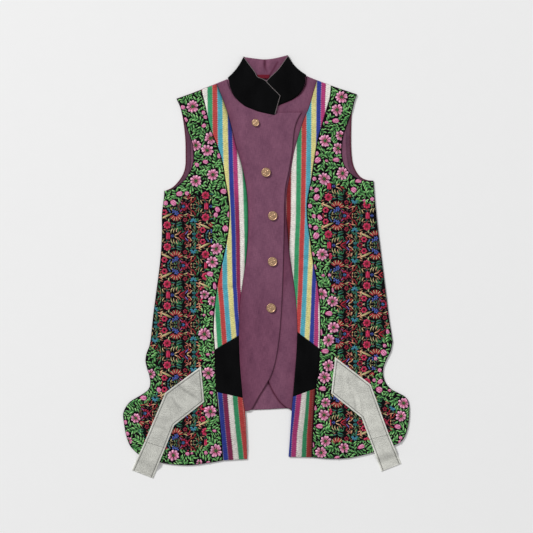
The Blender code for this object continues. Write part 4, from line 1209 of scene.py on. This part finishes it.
def leaf_rows(lay, rings, field, rng, box):
    """The border's green: sprigs on an uneven net, each a stem with leaves in pairs and one at its
    tip, then smaller leaves, turned the same way, in what they leave free. A leaf stays only where
    its own sprig is the nearest, and clear of the flowers and the field."""
    gx, gy = jittered(box, SPRIG_STEP, rng)
    main = rng.uniform(0, 2 * math.pi, len(gx))
    # along the stem, turn from it, length
    pairs = np.array(((-15, 0.84, 10), (-9.4, 0.8, 11), (-3.8, 0.76, 11.4), (1.8, 0.7, 11), (7, 0.6, 10)))
    leaves = np.concatenate((pairs, pairs * (1, -1, 1), [(9.5, 0, 11)]))
    at, turn, long = (leaves * (MM, 1, MM)).T
    stem = main[:, None]
    bend = 0.24 * np.sin(stem * 3) * at / (10 * MM)
    a = stem + bend + turn + rng.normal(0, 0.06, (len(gx), len(leaves)))
    long = long * rng.uniform(0.88, 1.1, a.shape)
    x, y = out_from(*out_from(gx[:, None], gy[:, None], at, stem + bend / 2), long * 0.52, a)
    nearest = np.concatenate([np.hypot(cx[:, None] - gx, cy[:, None] - gy).argmin(1)
                              for cx, cy in zip(x, y)])
    own = nearest == np.repeat(np.arange(len(gx)), len(leaves))
    bow = np.tile(np.sign(turn), len(gx)) * long.ravel() * 0.04
    x, y, a, long = (v.ravel() for v in (x, y, a, long))
    keep = own & ~inside(x, y, field) & clear_of(x, y, lay, rings, 1.6 * MM, 2.2 * MM)
    x, y, a, long, bow = (v[keep] for v in (x, y, a, long, bow))
    free = spaced(x, y, 4.3 * MM)
    x, y, a, long, bow = (v[free] for v in (x, y, a, long, bow))
    wide = long * rng.uniform(0.36, 0.43, len(x))

    fx, fy = jittered(box, LEAF_STEP, rng)
    keep = ~inside(fx, fy, field) & clear_of(fx, fy, lay, rings, 1.4 * MM, 1.2 * MM)
    keep &= far_from(fx, fy, x, y, 5.0 * MM)
    fx, fy = fx[keep], fy[keep]
    near = np.hypot(fx[:, None] - gx, fy[:, None] - gy).argmin(1)
    beside = np.cos(main[near]) * (fy - gy[near]) - np.sin(main[near]) * (fx - gx[near])
    x, y = np.concatenate((x, fx)), np.concatenate((y, fy))
    a = np.concatenate((a, main[near] + 0.75 * np.sign(beside) + rng.normal(0, 0.2, len(fx))))
    small = rng.uniform(6.0, 8.4, len(fx)) * MM
    long, wide = np.concatenate((long, small)), np.concatenate((wide, small * 0.42))
    bow = np.concatenate((bow, 0 * small))
    tone = rng.uniform(0, 1, len(x))[:, None] ** 1.3
    dark, mid, light = (dyed(k) for k in ("leaf_dark", "leaf", "leaf_light"))
    start, end = dark * (1 - tone) + mid * tone, mid * (0.8 - 0.8 * tone) + light * (0.2 + 0.8 * tone)
    rows = shape_rows(x, y, a, long, wide, start, end, 1.0, 0.8, bow, 0.8 * MM, None,
                      rng.choice((-0.7, 0.7), len(x)))
    stems = ~inside(gx, gy, field) & clear_of(gx, gy, lay, rings, 2.5 * MM, 3 * MM)
    return np.concatenate((rows, shape_rows(gx[stems], gy[stems], main[stems], 19 * MM, 1.1 * MM, dark, mid,
                                            0.3, 1, MM, 0.4 * MM)))


def half_repeat():
    """The shapes of half a repeat, in squares: the charted fans and strokes, and small curls worked
    out for the gaps between them."""
    cells = np.array(REPEAT, dtype=object)
    shapes = [cells[:, [0, 1, 2, 3, 4, 6]].astype(float)]
    threads = [pair.split() for pair in cells[:, 5]]
    for x, y, inner, first, last, count, long, wide, pair in REPEAT_FANS:
        a = np.linspace(first, last, count)
        shapes.append(np.column_stack((*out_from(x, y, inner + long / 2, np.radians(a)), a,
                                       long + 0 * a, wide + 0 * a, 0 * a)))
        threads += [pair.split()] * count
    placed = np.concatenate(shapes)
    (ux, uy), (vx, vy) = REPEAT_STEPS
    around = np.concatenate([half + (i * ux + j * vx, i * uy + j * vy, 0, 0, 0, 0)
                             for half in (placed, placed * (1, -1, -1, 1, 1, 1))
                             for i in (-1, 0, 1) for j in (-1, 0, 1)])
    rng = np.random.default_rng(SEEDS["repeat"])
    gx, gy = np.meshgrid(np.arange(-7, 31.5, 2.2), np.arange(1.1, 29, 2.2))
    gx, gy = (g.ravel() + rng.uniform(-0.7, 0.7, g.size) for g in (gx, gy))
    lean = np.radians(around[:, 2])
    dx, dy = gx[:, None] - around[:, 0], gy[:, None] - around[:, 1]
    along = (dx * np.cos(lean) + dy * np.sin(lean)) / (around[:, 3] / 2 + 0.7)
    beside = (dx * np.sin(lean) - dy * np.cos(lean)) / (around[:, 4] / 2 + 0.8)
    keep = (along**2 + beside**2 > 1).all(1)
    gx, gy = gx[keep], gy[keep]
    long = rng.uniform(3.0, 4.6, len(gx))
    fill = np.column_stack((gx, gy, rng.uniform(0, 180, len(gx)), long,
                            long * rng.uniform(0.26, 0.36, len(gx)), rng.uniform(-0.8, 0.8, len(gx))))
    threads += [(FILLING[k], FILLING[m]) for k, m in rng.integers(0, len(FILLING), (len(gx), 2))]
    start, end = (np.array([dyed(pair[k]) for pair in threads]) for k in (0, 1))
    return np.concatenate((placed, fill)), start, end


def repeat_rows(side, lay, rings):
    """The field's repeat at each place of its half-drop net, mirrored about its middle line."""
    shapes, start, end = half_repeat()
    (ux, uy), (vx, vy) = REPEAT_STEPS
    single = np.isclose(shapes[:, 1] % (vy / 2), 0)
    turned = shapes[~single] * (1, -1, -1, 1, 1, -1)
    shapes = np.concatenate((shapes, turned))
    start, end = (np.concatenate((c, c[~single])) for c in (start, end))
    i, j = (k.ravel() for k in np.meshgrid(np.arange(-4, 5), np.arange(-6, 8)))
    ox, oy = REPEAT_FROM[side][0] + i * ux + j * vx, REPEAT_FROM[side][1] + i * uy + j * vy
    many = len(ox)
    x, y = charted((ox[:, None] + shapes[:, 0]).ravel(), (oy[:, None] + shapes[:, 1]).ravel())
    lean, long, wide, bow = (np.tile(shapes[:, k], many) for k in (2, 3, 4, 5))
    keep = inside(x, y, FIELDS[side]) & clear_of(x, y, lay, rings, 1.4 * MM, 0.6 * MM)
    rows = shape_rows(x, y, -np.radians(lean), long * SQUARE, wide * SQUARE, np.tile(start, (many, 1)),
                      np.tile(end, (many, 1)), 0.6, 1.0, -bow * SQUARE, 0.62 * MM, None,
                      0.4 * np.sign(np.sin(7 * x / SQUARE)))
    return rows[keep]


def embroider(side, lay):
    """All the needlework of one side front, as three pieces: flowers, leaves and the field."""
    rng = np.random.default_rng(SEEDS[side])
    flowers, buds = FLOWERS[side], BUDS[side]
    round_things = [*flowers, *((b[0], b[1], (b[2] + b[3]) / 4) for b in buds)]
    rings = [(*charted(x, y), r * SQUARE) for x, y, r in round_things]
    blooms = np.concatenate((flower_rows(flowers, rng), bud_rows(buds)))
    blooms = blooms[lay.read(blooms[:, 0], blooms[:, 1])[1] > 0.4 * MM]
    bx = np.array(SIDES[side]["flare"] + SIDES[side]["armhole"] + SIDES[side]["outer_seam"][0])[:, 0] * MM
    box = ((bx.min(), -0.42), (bx.max(), 0.40))
    leaves = leaf_rows(lay, rings, FIELDS[side], rng, box)
    return [
        satin(f"{side}_flowers", blooms, lay, 7, 5),
        satin(f"{side}_leaves", leaves, lay, 6, 3),
        satin(f"{side}_field", repeat_rows(side, lay, rings), lay, 6, 4),
    ]


class VestSizes(PropertyGroup):
    """Sizes that a user would change."""

    fold_height: FloatProperty(
        name="Fold height", description="How strongly the laid folds show", default=1.0, min=0, max=2,
        subtype="FACTOR")
    thread_pitch: FloatProperty(
        name="Stitch pitch", description="From one topstitch to the next", default=3.2 * MM, min=MM,
        max=10 * MM, subtype="DISTANCE", unit="LENGTH")
    stitch_long: FloatProperty(
        name="Stitch length", description="Length of a topstitch", default=2.5 * MM, min=0.5 * MM,
        max=8 * MM, subtype="DISTANCE", unit="LENGTH")
    tab_margin: FloatProperty(
        name="Tab stitching margin", description="From a tab's edge to its stitching", default=4.2 * MM,
        min=MM, max=10 * MM, subtype="DISTANCE", unit="LENGTH")
    button_sides: IntProperty(
        name="Button sides", description="Steps round a button", default=60, min=24, max=96)


class VestColours(PropertyGroup):
    """Colours that a user would change, one for each row of the list above."""

    __annotations__ = {
        key: FloatVectorProperty(name=label, description=use, subtype="COLOR", size=3, min=0, max=1,
                                 default=tuple(float(v) for v in linear(card)))
        for key, (label, use, card) in COLOURS.items()
    }


def back_grid():
    """The back's sheet: one grid from shoulder to hem between the outer edges, its first row drawn
    onto the neck and its last onto the hem, and a grid for each tail, which shares the hem's
    points. Gives its points, its faces and its two outer edges."""
    edges, tails = {}, {}
    s = np.linspace(0, 1, BACK_SIDE + 1)[:, None]
    for side, sign in (("right", 1), ("left", -1)):
        lines = SIDES[side]
        rim = rim_line(lines)[:, :2]
        turn = ARMHOLE_STEPS * FINE
        armhole = MM * curve(lines["back_armhole"], turn)
        ease = smooth(np.arange(len(rim) - turn) / FINE)[:, None]
        low = rim[turn:] + (strip_grid(rim, [BACK_INSET], sign)[:, 0] - rim)[turn:] * ease
        low += (armhole[-1] - low[0]) * (1 - ease)
        edges[side] = np.concatenate((armhole, low[1:]))
        inner = seam(lines["inner_seam"])[:, :2]
        outer = seam(lines["outer_seam"])[-1, :2]
        hem = MM * curve(lines["side_hem"], HEM_STEPS)[::-1]
        fade = smooth(np.arange(len(inner) - FRONT_HEM) / FINE)[:, None]
        notch = inner[FRONT_HEM:] - (sign * NOTCH_INSET, 0) * fade
        corner = MM * np.array(BACK_HEM[0 if side == "right" else -1])
        notch += (corner - notch[0]) * (1 - fade)
        hem = np.concatenate((edges[side][-1:], np.array((*hem[1:-1], outer, notch[-1])) + (0, BACK_INSET)))
        tail = edges[side][FRONT_HEM:, None] * (1 - s[None]) + notch[:, None] * s[None]
        share = np.linspace(0, 1, len(tail))[:, None, None] ** 2
        tails[side] = tail + (evenly(hem, s[:, 0]) - tail[-1])[None] * share
    right, left = edges["right"][:FRONT_HEM + 1], edges["left"][:FRONT_HEM + 1]
    t = chain(np.linspace(0, 0.41, BACK_SIDE + 1), np.linspace(0.41, 0.59, BACK_MIDDLE + 1),
              np.linspace(0.59, 1, BACK_SIDE + 1))[None, :, None]
    main = right[:, None] * (1 - t) + left[:, None] * t
    neck, hem = MM * curve(BACK_NECK, BACK_MIDDLE), MM * curve(BACK_HEM, BACK_MIDDLE)
    top = chain(right[0] * (1 - s) + neck[0] * s, neck, neck[-1] * (1 - s) + left[0] * s)
    low = chain(tails["right"][0], hem, tails["left"][0, ::-1])
    down = np.linspace(0, 1, FRONT_HEM + 1)[:, None, None]
    main = main + (top - main[0])[None] * np.clip(1 - down * 3.2, 0, 1) ** 2
    main = main + (low - main[-1])[None] * np.clip(down * 3.6 - 2.6, 0, 1) ** 2
    points, faces, start = [], [], 0
    for grid in (main, tails["right"], tails["left"][:, ::-1]):
        points.append(grid.reshape(-1, 2))
        faces.append(grid_faces(*grid.shape[:2]) + start)
        start += len(points[-1])
    points = np.concatenate(points)
    kept, index = np.unique(np.round(points / (0.01 * MM)).astype(int), axis=0, return_inverse=True)
    place = np.zeros((len(kept), 2))
    place[index.ravel()] = points
    return place, index.ravel()[np.concatenate(faces)], edges


def striped_map(grid, places, rows):
    """Map of a striped panel: the stripes counted across the cloth, read between guide lines, and
    the place along it."""
    rows = np.array(rows, float)
    gx, gy = charted(rows[:, 1:], rows[:, :1])
    order = np.argsort(gy[:, 0])
    lines = [np.interp(grid[..., 1], gy[order, 0], gx[order, k]) for k in range(len(places))]
    count = np.zeros(grid.shape[:2])
    for k in range(len(places) - 1):
        share = (grid[..., 0] - lines[k]) / (lines[k + 1] - lines[k])
        part = places[k] + share * (places[k + 1] - places[k])
        count = part if k == 0 else np.where(grid[..., 0] > lines[k], part, count)
    return np.dstack((count, grid[..., 1]))


class VestBack(Operator):
    """The back, of which the inside shows at the armholes, with its facings and bound edges"""

    bl_idname = "vest.back"
    bl_label = "Back"

    def execute(self, context):
        sheet, faces, edges = back_grid()
        faces = facing_up(faces, sheet)
        x, y = sheet.T
        # painted shadow lines on the back under the edges of both fronts, where the hem opens
        shade = [share * bell(off_line(x, y, MM * np.array(lines["edge"])), reach)
                 for lines, share, reach in ((LEFT, 0.5, 2.6), (RIGHT, 0.2, 2.4))]
        top = np.column_stack((sheet, np.full(len(sheet), BACK_WALL)))
        piece = mesh_piece("back_cloth", *thick(top, top * (1, 1, 0), faces), purple_weave,
                           tint=darkened((y < HEM_OPENS) * sum(shade), RED_SHADE))
        stands_for("back")
        trims = []
        for side, sign in (("right", 1), ("left", -1)):
            line = edges[side][: ARMHOLE_STEPS * FINE + 1]
            for name, widths, wall, look, slot in (
                ("facing", np.linspace(2.2, 11.5, 8), FACING_WALL, purple_inside, "purple"),
                ("binding", (0.0, 0.4, 1.3, 2.2, 2.7), BINDING_WALL, plum_binding, "tape"),
            ):
                grid = strip_grid(line, np.array(widths) * MM, sign)
                trims.append(cloth_piece(f"{side}_armhole_{name}", grid, BACK_WALL + 0 * grid[..., 0],
                                         wall, look, turn=(ROUND, wall * 0.8)))
            for far, tone in ((4.4 * MM, "pink_dark"), (9.4 * MM, "wine")):
                trims.append(stitch_line(
                    f"{side}_armhole_stitches_{len(trims)}", strip_grid(line, [far], sign)[:, 0],
                    Level(BACK_WALL + FACING_WALL), 2.6 * MM, 2.2 * MM, 0.6 * MM, dyed(tone) * 0.35))
        return {"FINISHED"}


class VestFronts(Operator):
    """The two purple centre fronts: the wearer's left lies under, the right laps over it"""

    bl_idname = "vest.fronts"
    bl_label = "Centre fronts"

    def execute(self, context):
        edges = {}
        for side, lines in SIDES.items():
            neck = MM * np.array(lines["neck"], float)
            edge = MM * curve(lines["edge"], FRONT_HEM - NECK_STEPS * FINE)
            edges[side] = counted(np.concatenate((finer(neck, FINE)[:-1], edge)))
        under = edges["left"][NECK_STEPS * FINE:, :2][::-1]
        for side, rests_on, beside, lower in (("left", "back_cloth", 0.1, 0.03),
                                              ("right", "left_front_cloth", 0.15, 0.1)):
            inner = seam(SIDES[side]["inner_seam"])[:FRONT_HEM + 1]
            grid = crisped(across(inner, edges[side], FRONT_COLUMNS, (GAP / 2, 0)))
            low = underside(grid)
            x, y = grid[..., 0], grid[..., 1]
            seam_off = from_column(grid, 0)
            # painted shade beside the seam; the cloth is also darker lower down
            dark = beside * fading(seam_off, 7)
            dark += lower * smooth((30 * MM - y) / (180 * MM)) * fading(seam_off, 110)
            if side == "right":
                reach = np.interp(grid[:, :1, 1], under[:, 1], under[:, 0])
                fade = 1 - smooth((LAP_ENDS - y) / LAP_FADES)
                near = smooth((x - reach + 26 * MM) / (22 * MM))
                first = np.clip(grid[..., 2] / 2, 0, 1) * np.clip(grid[..., 3] * 12, 0, 1)
                low = low + LAP_RISE * fade * near * first
            else:
                # painted shade: under the right front's lapped edge and neck, beside the seam at the waist,
                # and along this front's own edge
                lap_off = off_line(x, y, edges["right"][NECK_STEPS * FINE::3])
                top_off = off_line(x, y, MM * np.array(RIGHT["neck"][-2:]))
                waist = smooth((y + 80 * MM) / (70 * MM)) * smooth((150 * MM - y) / (60 * MM))
                dark += waist * (0.12 * bell(lap_off, 16) + 0.16 * fading(seam_off, 4))
                dark += 0.14 * fading(lap_off, 3) + 0.05 * fading(top_off, 10) + 0.12 * fading(top_off, 1.5)
                dark += 0.3 * fading(from_column(grid, -1), 2)
            piece = cloth_piece(f"{side}_front_cloth", grid, low, FRONT_WALL, purple_weave, dark=dark,
                                powers=RED_SHADE)
            stands_for(f"{side}_front")
        return {"FINISHED"}


class VestPanels(Operator):
    """The striped and black panels of both sides"""

    bl_idname = "vest.panels"
    bl_label = "Striped and black panels"

    def execute(self, context):
        a, b = STEPS[0] * FINE, (STEPS[0] + STEPS[1]) * FINE
        for side, lines in SIDES.items():
            outer, inner = seam(lines["outer_seam"]), seam(lines["inner_seam"])
            for part, start, stop, look, slot in (
                ("stripes_upper", 0, a, striped_weave, "striped"),
                ("black_panel", a, b, black_knit, "black"),
                ("stripes_lower", b, len(outer) - 1, striped_weave, "striped"),
            ):
                node = f"{side}_{part}"
                grid = across(outer[start : stop + 1], inner[start : stop + 1], PANEL_COLUMNS)
                for end, beside in ((0, 1), (-1, -2)):
                    if (start, stop)[end] not in (0, len(outer) - 1):
                        step = grid[beside] - grid[end]
                        grid[end] += step / np.linalg.norm(step[:, :2], axis=1, keepdims=True) * GAP / 2
                grid = crisped(grid)
                y = grid[..., 1]
                uv = striped_map(grid, *STRIPE_GUIDES[node]) if node in STRIPE_GUIDES else None
                # painted shade beside the inner seam, fainter on the left above the waist; the left lower
                # panel is darker all over, with painted shade beside its outer seam
                deep = 0.5
                if side == "left":
                    deep = 0.5 - 0.35 * smooth((y - 70 * MM) / (40 * MM))
                    if uv is not None:
                        uv[..., 1] += STAYS_MAGENTA
                dark = deep * fading(from_column(grid, -1), 3) * smooth((y + 40 * MM) / (60 * MM))
                if node == "left_stripes_lower":
                    dark += 0.12 + 0.45 * fading(from_column(grid, 0), 8)
                piece = cloth_piece(node + "_cloth", grid, underside(grid), FRONT_WALL, look, uv, dark=dark)
                stands_for(node)
        return {"FINISHED"}


class VestSideFronts(Operator):
    """The flared side fronts and their embroidery"""

    bl_idname = "vest.side_fronts"
    bl_label = "Embroidered side fronts"

    def execute(self, context):
        for side in SIDES:
            grid = side_grid(side)
            low = underside(grid, 1 - grid[..., 3] ** 3)
            piece = cloth_piece(f"{side}_side_cloth", grid, low, FRONT_WALL, embroidery_ground)
            stands_for(f"{side}_side_front")
            embroider(side, Lay(top_of(grid, low, FRONT_WALL)))
        return {"FINISHED"}


def tab_shape(side):
    """A tab's grid from its end up, its heights, troughs and edges: it lies on the side front, droops
    over the hem and ends on the floor."""
    rows = MM * np.array(SIDES[side]["tab"], float)
    outer, inner = rows[:, :2], rows[:, 2:]
    far = run_length((outer + inner) / 2)
    stops = (0, TAB_CLEARS_HEM, *far[1:])
    at = chain(*(np.linspace(p, q, n) for p, q, n in zip(stops, stops[1:], (18, 10, 30, 50))))
    ends = (np.column_stack((points_at(at, far, line), at)) for line in (outer, inner))
    grid = crisped(across(*ends, TAB_COLUMNS, (0, 0)))
    x, y = grid[..., 0], grid[..., 1]
    up = BACK_WALL + GAP + swell(x, y) + np.maximum(folded(x, y), 0) + TAB_SLACK + FRONT_WALL + GAP
    clear = smooth((grid[..., 2] - TAB_ON_FLOOR) / (TAB_CLEARS_HEM - TAB_ON_FLOOR))
    soft = folded(x, y, TAB_FOLDS[side])
    return grid, (up + np.maximum(soft, 0)) * clear, np.minimum(soft, 0) * clear, (outer, inner)


def inset_ring(points, margin):
    """A closed polygon moved inwards: each side shifted by the margin, then met with the next."""
    p = np.asarray(points, float)
    run = np.roll(p, -1, axis=0) - p
    run /= np.linalg.norm(run, axis=1, keepdims=True)
    turn = np.sign(np.sum(p[:, 0] * np.roll(p[:, 1], -1) - np.roll(p[:, 0], -1) * p[:, 1]))
    off = p + np.stack((-run[:, 1], run[:, 0]), axis=1) * turn * margin
    before, way = np.roll(off, 1, axis=0), np.roll(run, 1, axis=0)
    crossed = way[:, 0] * run[:, 1] - way[:, 1] * run[:, 0]
    t = ((off - before)[:, 0] * run[:, 1] - (off - before)[:, 1] * run[:, 0]) / crossed
    return before + way * t[:, None]


class VestTabs(Operator):
    """The silver-grey suede tabs, with their topstitching"""

    bl_idname = "vest.tabs"
    bl_label = "Suede tabs"

    def execute(self, context):
        sizes = context.scene.vest_sizes
        grey = np.array(colours().seam_grey)
        for side in SIDES:
            grid, low, dent, (outer, inner) = tab_shape(side)
            ring = np.concatenate((outer, inner[::-1]))
            # the line runs up the outer edge, across the mitre and down the inner edge, and on to the end
            foot = (ring[-1] - ring[0]) * 0.093
            path = np.array((ring[0] + foot, *inset_ring(ring, sizes.tab_margin)[1:-1], ring[-1] - foot))
            groove = off_line(grid[..., 0], grid[..., 1], path)
            form = grid, low, TAB_WALL + dent - PRESSED * bell(groove, 0.9)
            # the tint: the wearer's right tab a little darker all over, and painted shade in the fold
            # troughs
            piece = cloth_piece(f"{side}_tab_suede", *form, silver_suede, np.dstack((to_edge(grid), groove)),
                                (TAB_ROUND, TAB_DROP), {"right": 0.05, "left": 0}[side] - 0.14 * dent / MM)
            stands_for(f"{side}_tab")
            lay = Lay(top_of(*form, TAB_ROUND, TAB_DROP))
            lines = [stitch_line(f"{side}_tab_{name}", line, lay, sizes.thread_pitch, sizes.stitch_long,
                                 1.3 * MM, grey)
                     for name, line in (("stitches", path),
                                        ("turn_stitches", charted_line(TAB_TURNS[side])))]
        return {"FINISHED"}


def turn(low, high, outwards):
    """Sections round a half circle from one section to another above or below it."""
    steps = COLLAR_TURN * FINE
    angle = (np.pi * np.arange(1, steps) / steps - np.pi / 2)[:, None]
    centre, reach = (low + high) / 2, abs(high[2] - low[2]) / 2
    out = np.array((*outwards, 0, *outwards, 0)) * reach
    return centre + (high - centre) * np.sin(angle) + out * np.cos(angle)


def collar_band():
    """The collar's middle surface, its outward way and its section counts: straight sections
    through the tables, and a half turn at each neck point, near which they sag inwards."""
    right, behind, left = (curve(MM * np.array(t, float), n * FINE)
                           for t, n in zip((COLLAR_RIGHT, COLLAR_BACK, COLLAR_LEFT), COLLAR_STEPS))
    rows = np.concatenate((right, turn(behind[0], right[-1], RIGHT_TURN)[::-1], behind,
                           turn(behind[-1], left[0], LEFT_TURN), left))
    counts = np.arange(len(rows)) / FINE
    s = np.linspace(0, 1, COLLAR_COLUMNS * 4 + 1)[None, :, None]
    mid = rows[:, None, :3] * (1 - s) + rows[:, None, 3:] * s
    for at, inward in COLLAR_SAGS:
        near = np.exp(-(((counts - at) / 3) ** 2))[:, None, None]
        mid[..., :2] += MM * np.array(inward) * near * 4 * s * (1 - s)
    down, along = np.gradient(mid, axis=1), np.gradient(mid, axis=0)
    out = np.cross(along, down)
    out /= np.linalg.norm(out, axis=2, keepdims=True)
    return mid, out if out[0, 2, 2] > 0 else -out, counts


def tube(path, radius, sides=8):
    """A closed round cord along a path: a circle square to the way at each point, drawn in to a
    point at both ends."""
    way = np.gradient(path, axis=0)
    way /= np.linalg.norm(way, axis=1, keepdims=True)
    side = np.cross(way, (0.0, 0.0, 1.0))
    side /= np.maximum(np.linalg.norm(side, axis=1, keepdims=True), 1e-9)
    up = np.cross(side, way)
    a = np.linspace(0, 2 * np.pi, sides, endpoint=False)[None, :, None]
    grow = np.minimum(1, from_ends(len(path)) / 1.5)[:, None, None]
    rings = path[:, None] + radius * grow * (side[:, None] * np.cos(a) + up[:, None] * np.sin(a))
    return capped(rings[1:-1], path[0], path[-1])


class VestCollar(Operator):
    """The stand collar, its purple lining, its piping and the hanging loop"""

    bl_idname = "vest.collar"
    bl_label = "Collar"

    def execute(self, context):
        mid, out, counts = collar_band()
        rows, cols = mid.shape[:2]
        edge, ends = from_ends(cols) / (cols - 1) * COLLAR_HIGH, from_ends(rows) * 2.4 * MM
        thin = 1 - 0.45 * fading(np.minimum(edge[None], ends[:, None]), 1.2)[..., None]
        half = out * COLLAR_WALL / 2 * thin
        piece = mesh_piece("collar_cloth", *thick((mid + half).reshape(-1, 3), (mid - half).reshape(-1, 3),
                                                  grid_faces(rows, cols)), black_knit)
        turned_outwards(piece)
        stands_for("collar")
        path, way = (np.concatenate((v[0, :-1], v[:, -1], v[-1, -2::-1])) for v in (mid, out))
        points, faces = tube(path + way * 0.45 * MM, 0.5 * MM)
        piping = mesh_piece("collar_edge_cord", points, faces, satin_thread,
                            tint=np.array(colours().cord_grey)[None])
        keep = (counts >= LINING_FROM) & (counts <= LINING_TO)
        out = finer(out[keep], 4)
        skin = finer(mid[keep], 4) - out * (COLLAR_WALL / 2 + GAP)
        # its pleat: a painted shade line that bends to the wearer's left as it goes down, between two soft
        # ridges
        rise = smooth((skin[..., 1] - 400 * MM) / (26 * MM)) * (out[..., 2] < -0.5)
        bent = skin[..., 0] - MM * (10 * (1 - rise) ** 2 - 2.7)
        # painted shade: faint over the whole lining, strong on the pleat's line and along the crease
        dark = 0.04 + 0.26 * rise * bell(bent, np.where(bent < 0, 3.6, 2.2))
        dark += 0.28 * bell(off_line(skin[..., 0], skin[..., 1], charted_line(LINING_CREASE)), 1.8)
        below_rim = smooth(np.linspace(1, 0, cols) / 0.15)
        for middle, up, left, right in LINING_RIDGES:
            off = bent - middle * MM
            ridge = bell(off, np.where(off < 0, left, right))
            skin = skin - out * (ridge * rise * below_rim * up * MM)[..., None]
        wall = thick(skin.reshape(-1, 3), (skin - out * LINING_WALL).reshape(-1, 3),
                     grid_faces(len(skin), cols))
        lining = mesh_piece("collar_inside", *wall, purple_weave, tint=darkened(dark, RED_SHADE))
        turned_outwards(lining)
        stands_for("collar_lining")
        (x, y), (loop_long, loop_wide) = LOOP_FROM, LOOP_SIZE
        grid = np.dstack(np.meshgrid(x + np.linspace(0, loop_long, 27), y + np.linspace(0, loop_wide, 13),
                                     indexing="ij"))
        lift = 0.5 * MM * np.sin(np.pi * (grid[..., 0] - x) / loop_long)
        loop = cloth_piece("loop_tape", grid, COLLAR_WALL + LINING_WALL + 2 * GAP + lift, 1.0 * MM, red_tape,
                           turn=(ROUND, 0.4 * MM))
        stands_for("hanging_loop")
        return {"FINISHED"}


class VestButtons(Operator):
    """Five shank buttons with a raised rim and a plain rosette in relief"""

    bl_idname = "vest.buttons"
    bl_label = "Buttons"

    def execute(self, context):
        a = np.linspace(0, 2 * np.pi, context.scene.vest_sizes.button_sides, endpoint=False)[None]
        share, rise = np.array(BUTTON_OUTLINE).T[..., None]
        for k, (x, y, r) in enumerate(BUTTONS):
            x, y, r = x * MM, y * MM, r * MM
            base = float(swell(x, y) + folded(np.array(x), np.array(y))) + BACK_WALL + GAP + FRONT_WALL
            base += LAP_RISE + GAP
            disc = base + SHANK_H
            petal = 0.16 * np.cos(8 * a + k) * np.exp(-(((share - 0.55) / 0.17) ** 2))
            rope = 0.05 * np.cos(40 * a) * np.exp(-(((share - 0.92) / 0.05) ** 2))
            relief = rise + (petal + rope) * (rise > 0.5)
            z = np.where(rise < 0, base, disc + relief * (BUTTON_H - SHANK_H))
            rings = np.dstack(np.broadcast_arrays(x + r * share * np.cos(a), y + r * share * np.sin(a), z))
            points, faces = capped(rings, (x, y, base), (x, y, base + BUTTON_H))
            piece = mesh_piece(f"button_{k + 1}_brass", points, faces, aged_brass)
            turned_outwards(piece)
            stands_for(f"button_{k + 1}")
        return {"FINISHED"}


class VestStage(Operator):
    """Pale floor, soft studio light and a camera straight above"""

    bl_idname = "vest.stage"
    bl_label = "Stage"

    def execute(self, context):
        scene = context.scene
        u = np.linspace(-1, 1, 41)
        u = np.sign(u) * np.abs(u) ** 2 * 6
        x, y = np.meshgrid(u, u, indexing="ij")
        mesh = bpy.data.meshes.new("floor")
        mesh.from_pydata(np.dstack((x, y, np.full(x.shape, -0.02 * MM))).reshape(-1, 3).tolist(), [],
                         grid_faces(41, 41).tolist())
        mesh.materials.append(made_of(pale_floor))
        in_scene("floor", mesh)

        scene.world = bpy.data.worlds.new("studio")
        scene.world.use_nodes = True
        sky = scene.world.node_tree.nodes["Background"]
        sky.inputs["Color"].default_value = (1, 1, 1, 1)
        sky.inputs["Strength"].default_value = 0.45
        for name, place, size, power in (
            ("window", (-9.2, 10.0, 8.8), 2.8, 1950), ("fill", (5.0, -2.0, 6.0), 3.0, 20),
        ):
            light = bpy.data.lights.new(name, "AREA")
            light.shape, light.size, light.energy = "DISK", size, power
            lamp = in_scene(name, light)
            lamp.location = place
            lamp.rotation_mode = "QUATERNION"
            lamp.rotation_quaternion = (-Vector(place)).to_track_quat("-Z", "Y")

        lens = bpy.data.cameras.new("camera")
        lens.lens, lens.sensor_width = 85, 36
        lens.clip_start, lens.clip_end = 0.1, 20
        scene.camera = in_scene("camera", lens)
        scene.camera.location = (0.4 * MM, 0.4 * MM, CHART_WIDE * SQUARE * lens.lens / lens.sensor_width)
        scene.view_settings.view_transform = "Standard"
        return {"FINISHED"}


STEPS_IN_ORDER = (
    VestStage, VestBack, VestFronts, VestPanels, VestSideFronts, VestTabs, VestCollar, VestButtons,
)


class VIEW3D_PT_vest(Panel):
    """Lists the steps that build the vest"""

    bl_label = "Panelled vest"
    bl_space_type = "VIEW_3D"
    bl_region_type = "UI"
    bl_category = "Vest"

    def draw(self, context):
        for step in STEPS_IN_ORDER:
            self.layout.operator(step.bl_idname)
        for group in (context.scene.vest_sizes, context.scene.vest_colours):
            box = self.layout.box()
            for key in group.__annotations__:
                box.prop(group, key)


CLASSES = (VestSizes, VestColours, *STEPS_IN_ORDER, VIEW3D_PT_vest)


def register():
    for kind in CLASSES:
        bpy.utils.register_class(kind)
    bpy.types.Scene.vest_sizes = PointerProperty(type=VestSizes)
    bpy.types.Scene.vest_colours = PointerProperty(type=VestColours)


def unregister():
    del bpy.types.Scene.vest_colours, bpy.types.Scene.vest_sizes
    for kind in reversed(CLASSES):
        bpy.utils.unregister_class(kind)


def main():
    """Builds every piece in order."""
    register()
    for step in STEPS_IN_ORDER:
        name = step.bl_idname.split(".")[1]
        getattr(bpy.ops.vest, name)()
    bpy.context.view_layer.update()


if __name__ == "__main__":
    main()
